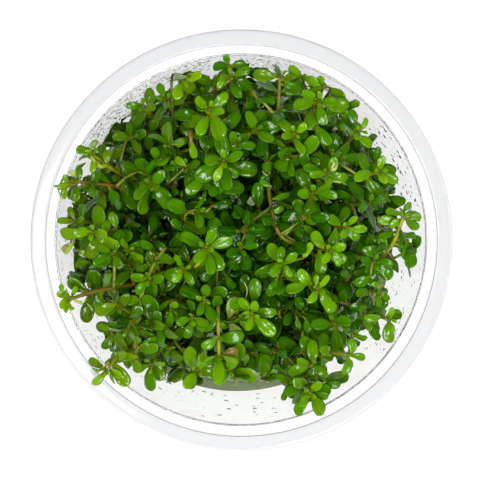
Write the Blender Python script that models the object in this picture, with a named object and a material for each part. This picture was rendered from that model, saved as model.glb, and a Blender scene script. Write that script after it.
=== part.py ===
"""A clear plastic cup of dwarf rotala, grown from tissue culture in a disc of clear gel.

The constants are in millimetres and the scene is in metres. +Z is up, and the origin is the middle of the
cup's foot. The shoots' places were read from a photograph taken from straight above.
"""

import math
import random
from collections import namedtuple

import bmesh
import bpy
import numpy as np

MM = 0.001

# Cup
RIM_DIAMETER = 100.0
RIM_TOP = 57.0
WALL = 0.9
FLOOR_TOP = 2.0
FOOT_RECESS = 1.0
FOOT_RADII = (37.4, 39.2)
INNER_FLOOR_RADIUS = 39.5
LIP_RADIUS = 43.9
LIP_HEIGHT = 52.2
COLLAR_RADIUS = 46.2
FLANGE_DROP = 5.4
CUP_SIDES = 36

# Culture gel
GEL_GAP = 0.35
GEL_TOP = 12.6

# How the photograph shows the cup
RIM_ACROSS_PX = 424.0
RIM_CENTRE_PX = (241.9, 241.0)
MM_PER_PX = RIM_DIAMETER / RIM_ACROSS_PX
VIEW_DISTANCE = 500.0
VIEW_SLANT = (0.023, -0.029)

# Shoots
ROOT_GAP = 0.35
ROOT_PULL = 0.80
ROOT_REACH = 34.0
MIDDLE_SHARE = 0.6
MIDDLE_PULL = 0.3
STEM_HALF_WIDTHS = (0.5, 0.36)
STEM_SAMPLES = 90
MIDDLE_RING_SPACING = 15.0
NODE_THICKNESS = 0.8
PAIR_DEPTHS = (0.0, 3.9, 8.6)
PAIR_LENGTHS = (4.3, 5.8, 6.3)
PAIR_PITCHES = (40.0, 20.0, 8.0)
LEAF_ASPECT = 0.56
LEAF_HALF_THICKNESS = 0.16
LEAF_WIDEST_AT = 0.62
LEAF_TIP_SHARE = 0.5
LEAF_DROOP = 0.08
FULL_PAIRS = 3
DEEP_PAIRS = 2
DEEP_TIP = 47.5
SEED = 11

# Room kept between pieces
CELL = 0.6
SAMPLES_ALONG = np.tile(np.linspace(0.25, 1.0, 14), 9)
SAMPLES_ACROSS = np.repeat(np.linspace(-1.0, 1.0, 9), 14)
WALL_ROOM = 0.7
GRID_LOW = (-54.0, -54.0, 0.0)
GRID_CELLS = (180, 180, 115)
FRONT_SPACE = ((-9.6, 9.6), (-41.0, -34.0))
TURNS = (0, 12, -12, 24, -24, 38, -38)
TILTS = (0, 12, -12, 26, -26, 40, 55)
SHRINKS = (1.0, 0.85, 0.7, 0.58)

# Each shoot: where its tip is seen (px), the tip's height (mm), the heading of its top pair of leaves (degrees
# from +X), the size of its leaves, how bright it is (0 old and dark, 1 young), where its root is seen and the
# points (px, px, mm) that its stem passes on the way, if the stem doesn't simply rise from the gel.
Shoot = namedtuple("Shoot", "x y height yaw size tone root route", defaults=(None, ()))
SHOOTS = (
    Shoot(380, 171, 55.0, 95, 0.85, 1.0),
    Shoot(360, 131, 54.5, 60, 0.75, 0.9),
    Shoot(295, 133, 54.5, 30, 0.80, 0.9),
    Shoot(209, 109, 54.5, 150, 0.95, 0.9),
    Shoot(347, 227, 54.5, 55, 0.80, 0.9),
    Shoot(331, 250, 54.0, 50, 0.90, 1.0),
    Shoot(318, 289, 54.0, 55, 0.90, 1.0),
    Shoot(283, 264, 53.5, 215, 0.95, 0.9),
    Shoot(252, 314, 54.0, 75, 0.95, 0.9),
    Shoot(224, 160, 54.5, 5, 1.15, 0.7),
    Shoot(206, 247, 54.0, 65, 1.10, 0.8),
    Shoot(93, 232, 53.5, 175, 1.05, 0.8),
    Shoot(404, 216, 55.5, 50, 0.80, 0.8, (345, 268), ((383, 257, 47), (396, 238, 53))),
    Shoot(390, 320, 54.0, 85, 0.75, 0.9, (350, 305)),
    Shoot(348, 355, 56.0, 70, 0.75, 0.9, (302, 332), ((320, 355, 49), (333, 353, 54))),
    Shoot(310, 393, 55.0, 235, 0.95, 0.8, (291, 354)),
    Shoot(107, 371, 59.5, 150, 0.80, 0.8, (140, 322), ((138, 350, 50), (117, 357, 58))),
    Shoot(70, 299, 56.5, 215, 0.80, 0.9, (150, 285), ((122, 286, 49), (92, 292, 54))),
    Shoot(280, 76, 54.0, 80, 0.95, 0.6, (275, 140), ((278, 112, 49),)),
    Shoot(318, 101, 53.0, 165, 1.05, 0.7),
    Shoot(219, 356, 54.0, 190, 1.00, 0.8, (218, 292), ((218, 315, 49),)),
    Shoot(329, 172, 54.0, 70, 0.90, 0.9),
    Shoot(231, 76, 54.0, 15, 0.75, 0.7),
    Shoot(313, 193, 51.0, 190, 1.05, 0.7),
    Shoot(149, 278, 51.0, 0, 1.00, 0.7),
    Shoot(312, 366, 53.0, 155, 1.05, 0.6),
    Shoot(204, 299, 51.0, 75, 0.95, 0.6),
    Shoot(184, 269, 50.5, 300, 0.95, 0.8),
    Shoot(192, 318, 50.0, 190, 0.95, 0.6),
    Shoot(267, 160, 47.0, 5, 0.90, 0.4, (296, 265), ((302, 246, 48), (281, 236, 51.5), (271, 205, 51))),
    Shoot(214, 85, 46.0, 158, 1.10, 0.5),
    Shoot(191, 139, 48.0, 200, 0.90, 0.5),
    Shoot(165, 99, 50.0, 110, 0.85, 0.5),
    Shoot(143, 106, 50.0, 160, 0.90, 0.6),
    Shoot(132, 137, 48.0, 180, 1.00, 0.5),
    Shoot(91, 154, 53.0, 170, 0.70, 0.6, (130, 175), ((107, 165, 49),)),
    Shoot(76, 182, 51.5, 95, 0.95, 0.6, (120, 195), ((100, 184, 49),)),
    Shoot(75, 221, 51.0, 175, 0.70, 0.7),
    Shoot(99, 192, 46.0, 310, 1.10, 0.4),
    Shoot(130, 181, 46.0, 130, 1.00, 0.4),
    Shoot(184, 232, 46.0, 130, 1.00, 0.4),
    Shoot(241, 248, 49.0, 200, 0.95, 0.4),
    Shoot(118, 268, 44.0, 335, 1.00, 0.3),
    Shoot(92, 262, 47.0, 185, 0.80, 0.3),
    Shoot(118, 306, 50.0, 215, 1.00, 0.6),
    Shoot(112, 334, 47.0, 250, 0.90, 0.6),
    Shoot(150, 364, 49.0, 200, 0.95, 0.6),
    Shoot(170, 349, 47.0, 140, 0.95, 0.4),
    Shoot(353, 334, 48.0, 150, 0.80, 0.6),
    Shoot(366, 316, 48.0, 130, 0.85, 0.5),
    Shoot(378, 294, 49.0, 90, 0.70, 0.7),
    Shoot(375, 262, 51.0, 180, 1.05, 0.5),
    Shoot(371, 203, 49.0, 15, 1.05, 0.4),
    Shoot(288, 388, 49.0, 210, 0.80, 0.5),
    Shoot(186, 166, 48.0, 0, 0.90, 0.6),
    Shoot(249, 96, 43.0, 170, 1.00, 0.2),
    Shoot(294, 310, 43.0, 50, 1.00, 0.3),
    Shoot(250, 352, 44.0, 275, 0.90, 0.5),
)

Stem = namedtuple("Stem", "points lengths tangents sides")
Leaf = namedtuple("Leaf", "base along across up length half_width")


def place_seen(px_x, px_y, height):
    """Where something seen at this pixel of the photograph is, if it is at this height."""
    depth = RIM_TOP - height
    scale = MM_PER_PX * (VIEW_DISTANCE + depth) / VIEW_DISTANCE
    x = (px_x - RIM_CENTRE_PX[0]) * scale + VIEW_SLANT[0] * depth
    y = (RIM_CENTRE_PX[1] - px_y) * scale + VIEW_SLANT[1] * depth
    return np.array([x, y, height])


def inner_radius(heights):
    """The radius of the cup's inside at each height."""
    rise = (heights - FLOOR_TOP) / (LIP_HEIGHT - FLOOR_TOP)
    wall = INNER_FLOOR_RADIUS + rise * (LIP_RADIUS - INNER_FLOOR_RADIUS)
    return np.where(heights > LIP_HEIGHT, COLLAR_RADIUS, wall)


def unit(vector):
    return vector / np.linalg.norm(vector)


def across_to(vector, axis):
    """The part of a vector that is square to the axis, as a unit vector."""
    return unit(vector - axis * np.dot(vector, axis))


def clear_space():
    for thing in list(bpy.data.objects):
        bpy.data.objects.remove(thing, do_unlink=True)


def finish_material(name, colour, roughness, alpha=1.0):
    material = bpy.data.materials.new(name)
    material.use_nodes = True
    shader = material.node_tree.nodes["Principled BSDF"]
    shader.inputs["Base Color"].default_value = (*colour, 1.0)
    shader.inputs["Roughness"].default_value = roughness
    shader.inputs["Metallic"].default_value = 0.0
    shader.inputs["Alpha"].default_value = alpha
    return material


def add_object(name, mesh, material, smooth_below=None):
    """Makes the bmesh, which is in millimetres, an object in metres."""
    bmesh.ops.scale(mesh, vec=(MM, MM, MM), verts=mesh.verts)
    data = bpy.data.meshes.new(name)
    mesh.to_mesh(data)
    mesh.free()
    if smooth_below is not None:
        data.shade_smooth()
        data.set_sharp_from_angle(angle=math.radians(smooth_below))
    data.materials.append(material)
    thing = bpy.data.objects.new(name, data)
    bpy.context.scene.collection.objects.link(thing)
    return thing


def turned(profile, sides):
    """A solid of revolution. The profile runs from the axis under it, round the outside, to the axis above."""
    mesh = bmesh.new()
    first = mesh.verts.new((0, 0, profile[0][1]))
    last = mesh.verts.new((0, 0, profile[-1][1]))
    rings = []
    for radius, height in profile[1:-1]:
        turns = [2 * math.pi * step / sides for step in range(sides)]
        rings.append([mesh.verts.new((radius * math.cos(a), radius * math.sin(a), height)) for a in turns])
    for step in range(sides):
        after = (step + 1) % sides
        mesh.faces.new((first, rings[0][after], rings[0][step]))
        mesh.faces.new((last, rings[-1][step], rings[-1][after]))
        for lower, upper in zip(rings, rings[1:]):
            mesh.faces.new((lower[step], lower[after], upper[after], upper[step]))
    return mesh


def cup_profile():
    rim_radius = RIM_DIAMETER / 2
    outer_lip = LIP_RADIUS + WALL
    outer_collar = COLLAR_RADIUS + WALL
    return (
        (0, FOOT_RECESS),
        (FOOT_RADII[0] - 0.6, FOOT_RECESS),
        (FOOT_RADII[0], 0),
        (FOOT_RADII[1], 0),
        (INNER_FLOOR_RADIUS + WALL, FOOT_RECESS),
        (outer_lip, LIP_HEIGHT - WALL),
        (outer_collar, LIP_HEIGHT - WALL / 2),
        (outer_collar, RIM_TOP - 2 * WALL),
        (rim_radius - WALL, RIM_TOP - 2 * WALL),
        (rim_radius - WALL, RIM_TOP - FLANGE_DROP),
        (rim_radius, RIM_TOP - FLANGE_DROP),
        (rim_radius, RIM_TOP - WALL),
        (rim_radius - WALL, RIM_TOP - WALL / 4),
        (COLLAR_RADIUS + WALL / 2, RIM_TOP),
        (COLLAR_RADIUS, RIM_TOP - WALL / 2),
        (COLLAR_RADIUS, LIP_HEIGHT + WALL),
        (LIP_RADIUS, LIP_HEIGHT),
        (INNER_FLOOR_RADIUS, FLOOR_TOP + WALL),
        (INNER_FLOOR_RADIUS - WALL, FLOOR_TOP),
        (0, FLOOR_TOP),
    )


def make_cup():
    clear_plastic = finish_material("clear_plastic", (0.86, 0.90, 0.88), 0.12, alpha=0.3)
    add_object("cup", turned(cup_profile(), CUP_SIDES), clear_plastic, smooth_below=30)


def make_gel():
    bottom = FLOOR_TOP + GEL_GAP
    top_radius = inner_radius(GEL_TOP) - GEL_GAP
    profile = (
        (0, bottom),
        (INNER_FLOOR_RADIUS - WALL - GEL_GAP, bottom),
        (top_radius, GEL_TOP),
        (0, GEL_TOP),
    )
    set_gel = finish_material("set_gel", (0.62, 0.66, 0.50), 0.25, alpha=0.6)
    add_object("culture_gel", turned(profile, CUP_SIDES), set_gel, smooth_below=30)


def stem_stops(shoot, spread):
    """The points that a stem passes, from its root on the gel to its tip."""
    ground = GEL_TOP + ROOT_GAP
    tip = place_seen(shoot.x, shoot.y, shoot.height)
    if shoot.root:
        root = place_seen(*shoot.root, ground)
    else:
        root = tip * ROOT_PULL
        root[:2] += (spread.uniform(-1, 1), spread.uniform(-1, 1))
    reach = math.hypot(root[0], root[1])
    root[:2] *= min(1.0, ROOT_REACH / reach)
    root[2] = ground
    route = [place_seen(*stop) for stop in shoot.route]
    if not route:
        middle = root + (tip - root) * MIDDLE_PULL
        middle[2] = ground + (tip[2] - ground) * MIDDLE_SHARE
        route = [middle]
    return np.array([root, *route, tip])


def smooth_curve(stops, count):
    """A curve through the stops that leaves the first one straight up, as evenly spaced points."""
    steps = np.linalg.norm(np.diff(stops, axis=0), axis=1)
    times = np.concatenate([[0], np.cumsum(steps)])
    slopes = np.gradient(stops, times, axis=0)
    slopes[0] = (0, 0, 1)
    fine = np.linspace(0, times[-1], count * 4)
    span = np.clip(np.searchsorted(times, fine, side="right") - 1, 0, len(steps) - 1)
    width = steps[span][:, None]
    t = (fine - times[span])[:, None] / width
    points = (
        (2 * t**3 - 3 * t**2 + 1) * stops[span]
        + (t**3 - 2 * t**2 + t) * width * slopes[span]
        + (3 * t**2 - 2 * t**3) * stops[span + 1]
        + (t**3 - t**2) * width * slopes[span + 1]
    )
    walked = np.concatenate([[0], np.cumsum(np.linalg.norm(np.diff(points, axis=0), axis=1))])
    even = np.linspace(0, walked[-1], count)
    return np.stack([np.interp(even, walked, points[:, axis]) for axis in range(3)], axis=1)


def grow_stem(shoot, spread):
    """The stem's middle line, and at each point the way it runs and the way its first side faces."""
    points = smooth_curve(stem_stops(shoot, spread), STEM_SAMPLES)
    lengths = np.concatenate([[0], np.cumsum(np.linalg.norm(np.diff(points, axis=0), axis=1))])
    tangents = np.gradient(points, lengths, axis=0)
    tangents /= np.linalg.norm(tangents, axis=1)[:, None]
    heading = math.radians(shoot.yaw)
    side = np.array([math.cos(heading), math.sin(heading), 0.0])
    sides = np.empty_like(points)
    for index in reversed(range(STEM_SAMPLES)):
        side = across_to(side, tangents[index])
        sides[index] = side
    return Stem(points, lengths, tangents, sides)


def stem_at(stem, depth):
    """The place, direction and first side of the stem at a depth below its tip."""
    along = max(stem.lengths[-1] - depth, 0.0)
    index = int(np.argmin(np.abs(stem.lengths - along)))
    place = np.array([np.interp(along, stem.lengths, stem.points[:, axis]) for axis in range(3)])
    return place, stem.tangents[index], stem.sides[index]


def half_width_at(stem, depth):
    share = depth / stem.lengths[-1]
    return STEM_HALF_WIDTHS[1] + share * (STEM_HALF_WIDTHS[0] - STEM_HALF_WIDTHS[1])


class Room:
    """Which small cubes of the space are taken, and by which shoot."""

    def __init__(self):
        self.owner = np.full(GRID_CELLS, -1, np.int16)
        reach = range(-1, 2)
        self.near = np.array([(x, y, z) for x in reach for y in reach for z in reach])

    def cells(self, points):
        return np.floor((points - GRID_LOW) / CELL).astype(int)

    def take(self, points, owner):
        cells = (self.cells(points)[:, None, :] + self.near).reshape(-1, 3)
        self.owner[tuple(cells.T)] = owner

    def is_free(self, points, own_stem):
        found = self.owner[tuple(self.cells(points).T)]
        return bool(np.all((found == -1) | (found == own_stem)))


def inside_cup(points):
    """True where every point stays clear of the cup's wall, the gel and the space kept at the front."""
    radii = np.hypot(points[:, 0], points[:, 1])
    over_rim = points[:, 2] > RIM_TOP + WALL_ROOM
    limits = np.where(over_rim, RIM_DIAMETER / 2, inner_radius(points[:, 2]))
    within = radii < limits - WALL_ROOM
    above_ledge = (radii < LIP_RADIUS - WALL_ROOM) | (points[:, 2] > LIP_HEIGHT + WALL + WALL_ROOM)
    above_gel = points[:, 2] > GEL_TOP + WALL_ROOM
    (low_x, high_x), (low_y, high_y) = FRONT_SPACE
    in_front = (points[:, 0] > low_x) & (points[:, 0] < high_x)
    in_front &= (points[:, 1] > low_y) & (points[:, 1] < high_y)
    return bool(np.all(within & above_ledge & above_gel & ~in_front))


def leaf_points(leaf, shares, sides, lift=0.0):
    """Points of the leaf's blade: shares of the way from base to tip, sides in millimetres to the left."""
    along = np.multiply.outer(leaf.length * shares, leaf.along)
    across = np.multiply.outer(sides, leaf.across)
    up = np.multiply.outer(lift - LEAF_DROOP * leaf.length * shares**2, leaf.up)
    return leaf.base + along + across + up


def leaf_width(leaf, shares):
    """Half the blade's width at shares of its length: narrow, widest past the middle, and round at the tip."""
    widening = 0.3 + 0.7 * shares / LEAF_WIDEST_AT
    past = (shares - LEAF_WIDEST_AT) / (1 - LEAF_WIDEST_AT)
    return leaf.half_width * np.minimum(widening, 1 - (1 - LEAF_TIP_SHARE) * past)


def leaf_samples(leaf):
    """Points spread over the blade, without its first quarter, which is at the leaf's own stem."""
    sides = SAMPLES_ACROSS * leaf_width(leaf, SAMPLES_ALONG)
    return leaf_points(leaf, SAMPLES_ALONG, sides)


def aim_leaf(stem, depth, side_number, turn, pitch, length):
    """A leaf on one of the stem's four sides, turned about the stem and pitched up towards its tip."""
    place, tangent, first_side = stem_at(stem, depth)
    second_side = np.cross(tangent, first_side)
    facing = (first_side, second_side, -first_side, -second_side)[side_number]
    angle = math.radians(turn)
    turned_facing = facing * math.cos(angle) + np.cross(tangent, facing) * math.sin(angle)
    rise = math.radians(pitch)
    along = unit(turned_facing * math.cos(rise) + tangent * math.sin(rise))
    across = unit(np.cross(tangent, along))
    base = place + facing * half_width_at(stem, depth)
    return Leaf(base, along, across, np.cross(along, across), length, length * LEAF_ASPECT / 2)


def fit_leaf(room, stem, owner, depth, side_number, pitch, length):
    """The first leaf, of many ways to turn, tilt and shrink it, that touches nothing; None if there is none."""
    for shrink in SHRINKS:
        for tilt in TILTS:
            for turn in TURNS:
                leaf = aim_leaf(stem, depth, side_number, turn, pitch + tilt, length * shrink)
                points = leaf_samples(leaf)
                if inside_cup(points) and room.is_free(points, owner):
                    return leaf
    return None


def take_stem(room, stem, owner):
    spots = [stem.points]
    for corner in ((1, 1), (1, -1), (-1, 1), (-1, -1)):
        second = np.cross(stem.tangents, stem.sides)
        spots.append(stem.points + STEM_HALF_WIDTHS[0] * (corner[0] * stem.sides + corner[1] * second))
    room.take(np.concatenate(spots), owner)


def pair_count(shoot):
    """How many pairs of leaves are part of the solid. The deep shoots show fewer."""
    return DEEP_PAIRS if shoot.height < DEEP_TIP else FULL_PAIRS


def grow_leaves(stems):
    """Every shoot's leaves, the top pairs of all shoots first, as {(shoot, pair, side): leaf}."""
    room = Room()
    for owner, stem in enumerate(stems):
        take_stem(room, stem, owner)
    leaves = {}
    for pair in range(FULL_PAIRS):
        for owner, (shoot, stem) in enumerate(zip(SHOOTS, stems)):
            if pair >= pair_count(shoot):
                continue
            depth = PAIR_DEPTHS[pair] + NODE_THICKNESS / 2
            for side_number in (pair % 2, pair % 2 + 2):
                length = PAIR_LENGTHS[pair] * shoot.size
                leaf = fit_leaf(room, stem, owner, depth, side_number, PAIR_PITCHES[pair], length)
                if leaf:
                    leaves[owner, pair, side_number] = leaf
                    room.take(leaf_samples(leaf), len(stems) + owner)
    return leaves


def stem_ring(mesh, stem, depth):
    """The four corners of the square stem. The one on the gel lies level."""
    place, tangent, first_side = stem_at(stem, depth)
    second_side = np.cross(tangent, first_side)
    half = half_width_at(stem, depth)
    corners = ((1, -1), (1, 1), (-1, 1), (-1, -1))
    return [mesh.verts.new(place + half * (a * first_side + b * second_side)) for a, b in corners]


def grow_blade(mesh, face_corners, leaf):
    """Draws the stem's side face out into a blade: its base, its widest place and its tip."""
    edge = face_corners
    for share in (LEAF_WIDEST_AT, 1.0):
        half = leaf_width(leaf, share)
        lift = LEAF_HALF_THICKNESS
        marks = ((-half, -lift), (half, -lift), (half, lift), (-half, lift))
        section = [mesh.verts.new(leaf_points(leaf, share, side, up)) for side, up in marks]
        for corner in range(4):
            after = (corner + 1) % 4
            mesh.faces.new((edge[corner], edge[after], section[after], section[corner]))
        edge = section
    mesh.faces.new(edge)


def shoot_mesh(stem, leaves, pairs):
    """One closed body: the stem from root to tip, and the leaves drawn out of its sides."""
    mesh = bmesh.new()
    depths = []
    for pair in range(pairs):
        depths += [PAIR_DEPTHS[pair], PAIR_DEPTHS[pair] + NODE_THICKNESS]
    bare = stem.lengths[-1] - depths[-1]
    parts = max(2, round(bare / MIDDLE_RING_SPACING))
    depths += [depths[-1] + bare * part / parts for part in range(1, parts + 1)]
    rings = [stem_ring(mesh, stem, depth) for depth in depths]
    mesh.faces.new(rings[0])
    mesh.faces.new(rings[-1][::-1])
    for band, (upper, lower) in enumerate(zip(rings, rings[1:])):
        for side_number in range(4):
            after = (side_number + 1) % 4
            corners = (lower[side_number], lower[after], upper[after], upper[side_number])
            leaf = leaves.get((band // 2, side_number)) if band % 2 == 0 else None
            if leaf:
                grow_blade(mesh, corners, leaf)
            else:
                mesh.faces.new(corners)
    return mesh


def leaf_green(tone):
    dark = np.array([0.05, 0.13, 0.01])
    bright = np.array([0.20, 0.42, 0.02])
    return tuple(dark + (bright - dark) * tone)


def make_shoots():
    spread = random.Random(SEED)
    stems = [grow_stem(shoot, spread) for shoot in SHOOTS]
    leaves = grow_leaves(stems)
    for number, (shoot, stem) in enumerate(zip(SHOOTS, stems)):
        own = {(pair, side): leaf for (owner, pair, side), leaf in leaves.items() if owner == number}
        name = f"shoot_{number + 1:02d}"
        green = finish_material(f"leaf_green_{number + 1:02d}", leaf_green(shoot.tone), 0.35)
        add_object(name, shoot_mesh(stem, own, pair_count(shoot)), green)


clear_space()
make_cup()
make_gel()
make_shoots()
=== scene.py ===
"""The look of a clear plastic cup of tissue culture dwarf rotala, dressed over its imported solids.

The constants are in millimetres and the scene is in metres. +Z is up, and the origin is the middle of the
cup's foot. The shoots' places were read from a photograph taken from straight above.
"""

import itertools
import math
import random
from collections import namedtuple

import bpy
import numpy as np
from mathutils import Matrix, Vector


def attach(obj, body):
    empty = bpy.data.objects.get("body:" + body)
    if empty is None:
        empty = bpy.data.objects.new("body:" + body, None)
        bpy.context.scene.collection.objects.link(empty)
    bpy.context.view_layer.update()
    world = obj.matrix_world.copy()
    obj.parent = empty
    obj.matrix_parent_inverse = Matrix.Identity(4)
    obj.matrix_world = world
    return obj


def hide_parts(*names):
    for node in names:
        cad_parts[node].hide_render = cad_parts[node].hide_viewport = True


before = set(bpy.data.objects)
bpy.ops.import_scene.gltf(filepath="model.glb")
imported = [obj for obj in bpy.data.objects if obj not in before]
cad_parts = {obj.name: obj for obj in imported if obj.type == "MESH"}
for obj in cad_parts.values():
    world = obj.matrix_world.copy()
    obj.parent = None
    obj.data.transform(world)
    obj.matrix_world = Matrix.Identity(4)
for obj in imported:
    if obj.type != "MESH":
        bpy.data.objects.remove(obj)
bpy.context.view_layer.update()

MM = 0.001

# Cup. The drawn wall is thinner than the solid's. What stands above the rim's start, the flange, is milky.
RIM_DIAMETER = 100.0
RIM_TOP = 57.0
RIM_STARTS = 55.5
WALL = 0.9
DRAWN_WALL = 0.6
FLOOR_TOP = 2.0
FOOT_RECESS = 1.0
FOOT_RADII = (37.4, 39.2)
INNER_FLOOR_RADIUS = 39.5
LIP_RADIUS = 43.9
LIP_HEIGHT = 52.2
LIP_STEP = 0.05
COLLAR_RADIUS = 46.2
FLANGE_DROP = 5.4
CUP_SIDES = 192
# Drawn corners: how far each cut reaches, the most of an edge that it takes, and the points of its arc
CUP_CORNER = 0.35
GEL_CORNER = 0.5
MOST_CUT = 0.45
CORNER_POINTS = 4

# Culture gel, and how wide and how high it climbs at its edge
GEL_GAP = 0.35
GEL_TOP = 12.6
GEL_CLIMB = (1.5, 0.05)
GEL_SIDES = 96

# Drops of condensation in patches of the wall: headings (past 360 they go on round), heights, radii, count
DropPatch = namedtuple("DropPatch", "headings heights radii count")
DROP_PATCHES = tuple(DropPatch(*row) for row in (
    ((350, 590), (15, 51), (0.08, 0.22), 500),
    ((125, 152), (24, 51), (0.18, 0.42), 440),
    ((100, 125), (34, 51), (0.16, 0.42), 300),
    ((70, 98), (36, 51), (0.16, 0.42), 200),
    ((8, 40), (18, 49), (0.30, 0.65), 80),
    ((160, 218), (20, 50), (0.15, 0.42), 120),
    ((225, 285), (16, 50), (0.25, 0.80), 45),
    ((318, 352), (18, 50), (0.18, 0.50), 80),
))
DROP_SIZES = (0.6, 1.0)
DROP_TALLNESS = 1.2
DROP_SIDES = 7
DROP_GAP = 0.02
# Rings of a drop's dome: share of its radius, and how far the ring stands off the wall in radii
DROP_RINGS = ((1.0, 0.0), (0.85, 0.34), (0.35, 0.55))

# How the photograph shows the cup
FRAME_PX = 480
RIM_ACROSS_PX = 424.0
RIM_CENTRE_PX = (241.9, 241.0)
MM_PER_PX = RIM_DIAMETER / RIM_ACROSS_PX
VIEW_DISTANCE = 500.0
VIEW_SLANT = (0.023, -0.029)

# Shoots, as in the solids
ROOT_GAP = 0.35
ROOT_PULL = 0.80
ROOT_REACH = 34.0
MIDDLE_SHARE = 0.6
MIDDLE_PULL = 0.3
STEM_HALF_WIDTHS = (0.5, 0.36)
STEM_SAMPLES = 90
NODE_THICKNESS = 0.8
PAIR_DEPTHS = (0.0, 3.9, 8.6)
PAIR_LENGTHS = (4.3, 5.8, 6.3)
PAIR_PITCHES = (40.0, 20.0, 8.0)
LEAF_ASPECT = 0.56
LEAF_BASE_SHARE = 0.3
LEAF_WIDEST_AT = 0.62
LEAF_TIP_SHARE = 0.5
LEAF_DROOP = 0.08
FULL_PAIRS = 3
DEEP_PAIRS = 2
DEEP_TIP = 47.5
SEED = 11

# Room kept between pieces, as in the solids
CELL = 0.6
SAMPLES_ALONG = np.tile(np.linspace(0.25, 1.0, 14), 9)
SAMPLES_ACROSS = np.repeat(np.linspace(-1.0, 1.0, 9), 14)
WALL_ROOM = 0.7
GRID_LOW = (-54.0, -54.0, 0.0)
GRID_CELLS = (180, 180, 115)
FRONT_SPACE = ((-9.6, 9.6), (-41.0, -34.0))
# How a leaf may be turned, tilted and shrunk until it has room
TURNS = (0, 12, -12, 24, -24, 38, -38)
TILTS = (0, 12, -12, 26, -26, 40, 55)
SHRINKS = (1.0, 0.85, 0.7, 0.58)
# The share of a leaf that may pass through others. The solids allow none, but the leaves of the scene crowd.
SCENE_OVERLAP = 0.08

# How much darker each pair of leaves is than the one above it
PAIR_SHADE = 0.12

# Leaves below those of the solids: their depths under the tip, pitch, lowest height, lengths and tones. Their
# tones are made darker than the shoot's, and darker the lower they are: painted shade.
LOWER_DEPTHS = (13.4, 18.2, 23.0, 27.8, 32.6, 37.4)
LOWER_PITCH = 4.0
LOWEST_LEAF = 16.0
LOWER_LENGTH = 6.2
LOWER_SIZES = (0.85, 1.1)
LOWER_TONE = 0.6
LOWER_SHADE = 0.06
LOWER_STRAY_TONE = 0.08
# The smallest leaves, folded over the tip: (length, pitch, first side)
BUD_LEAVES = ((2.3, 60.0, 1), (1.3, 74.0, 0))
BUD_DEPTH = 0.1
BUD_LIGHT = 0.15
# The length of bare stem that is always left under a pair
BARE_STEM = 2.0

# Side twigs
TWIG_SAMPLES = 40
TWIG_HALF_WIDTHS = (0.34, 0.24)
TWIG_DEPTHS = (0.0, 3.0, 6.4)
TWIG_LENGTHS = (4.5, 6.0, 6.4)
TWIG_NODE_DEPTH = 0.3
TWIG_PAIR_SHADE = 0.1
TWIG_BUD_SIZE = 0.8
TWIG_BUD_LIGHT = 0.1
TWIG_DROP = 9.0
TWIG_NECK = 3.0
TWIG_LEAN = 3.2
# Twigs on the bare lower stems, where there is room along the whole path
SPARE_TWIG_DEPTHS = (12.0, 19.0, 26.0)
SPARE_TWIG_REACH = (5.5, 9.5)
SPARE_TWIG_RISE = (4.0, 8.0)
SPARE_TWIG_TRIES = 14
SPARE_TWIG_STEM = 4.0
SPARE_TWIG_TURN = 45
SPARE_TWIG_SIZE = 0.9
# Painted shade: the spare twigs low in the clump have half the shoot's tone
SPARE_TWIG_TONE = 0.5
SPARE_TWIG_PATH = np.linspace(0.25, 1.15, 16)[:, None]
# Dark gaps that the photograph shows between the shoots: x, y and radius. Leaves near them get painted shade:
# their colour is made darker.
DARK_GAPS = (
    (-20.5, 5.0, 8.0), (-24.0, 23.5, 3.5), (-16.0, 13.5, 3.5), (-8.5, 9.5, 3.0), (4.5, 20.5, 5.5),
    (0.0, 10.5, 6.0), (11.0, 16.5, 3.5), (25.5, 13.0, 2.5), (4.5, 2.5, 2.5), (18.5, -18.5, 3.5),
    (-16.0, -11.0, 3.0), (-2.5, -10.5, 3.5), (7.5, -11.5, 5.0), (25.5, -12.5, 4.0), (14.5, -20.5, 6.0),
    (-9.5, -25.5, 3.5), (5.5, -26.5, 5.0), (0.0, 30.0, 3.0),
)
# The most painted shade that a dark gap puts on the colour of the leaves near it
GAP_SHADE = 0.55
# How far out the leaves reach at each heading (degrees from +X): up to the wall but for the front
REACHES = (
    (0, 38), (30, 38.5), (45, 39.5), (60, 41.5), (75, 42.5), (105, 41), (120, 42.5), (135, 38.5),
    (150, 41.5), (165, 42.5), (180, 40.5), (195, 40.5), (210, 37), (225, 42), (240, 34.5), (255, 33.5),
    (270, 34), (285, 35), (300, 36), (315, 34), (330, 38), (345, 32), (360, 38),
)
# The canopy's grid of twigs: its spacing and that of its rows, how far a tip strays sideways and in height,
# how deep under its layer it looks for leaves that cover it, and the sizes and tones of its leaves
FILL_SPACING = 3.7
FILL_ROW = 0.87
FILL_STRAY = 1.0
FILL_STRAY_HEIGHT = 1.5
FILL_COVER_DEPTH = 5.0
FILL_SIZES = (0.9, 1.15)
FILL_STRAY_TONE = 0.15
# Painted light: how much brighter the colour of the lower layers' twigs is made at the wall, where light
# comes in through it
WALL_PAINTED_LIGHT = 0.25
# Layers of twigs that fill the canopy: height, the most cover that a tip may have, tone and gaps left open.
# The lower layers' darker tones are painted shade.
CANOPY_LAYERS = (
    (50.5, 0.50, 0.65, DARK_GAPS),
    (47.0, 0.62, 0.55, DARK_GAPS),
    (43.0, 0.74, 0.42, DARK_GAPS),
    (38.0, 0.84, 0.32, DARK_GAPS),
    (33.0, 0.88, 0.26, ()),
    (27.0, 0.92, 0.22, ()),
    (22.0, 0.94, 0.18, ()),
    (18.5, 0.95, 0.14, ()),
    (20.5, 0.97, 0.16, ()),
    (16.5, 0.97, 0.10, ()),
)

# How olive the leaves at the wall can be, on the right and on the left of the cup
WARMEST = (0.15, 0.8)

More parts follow.
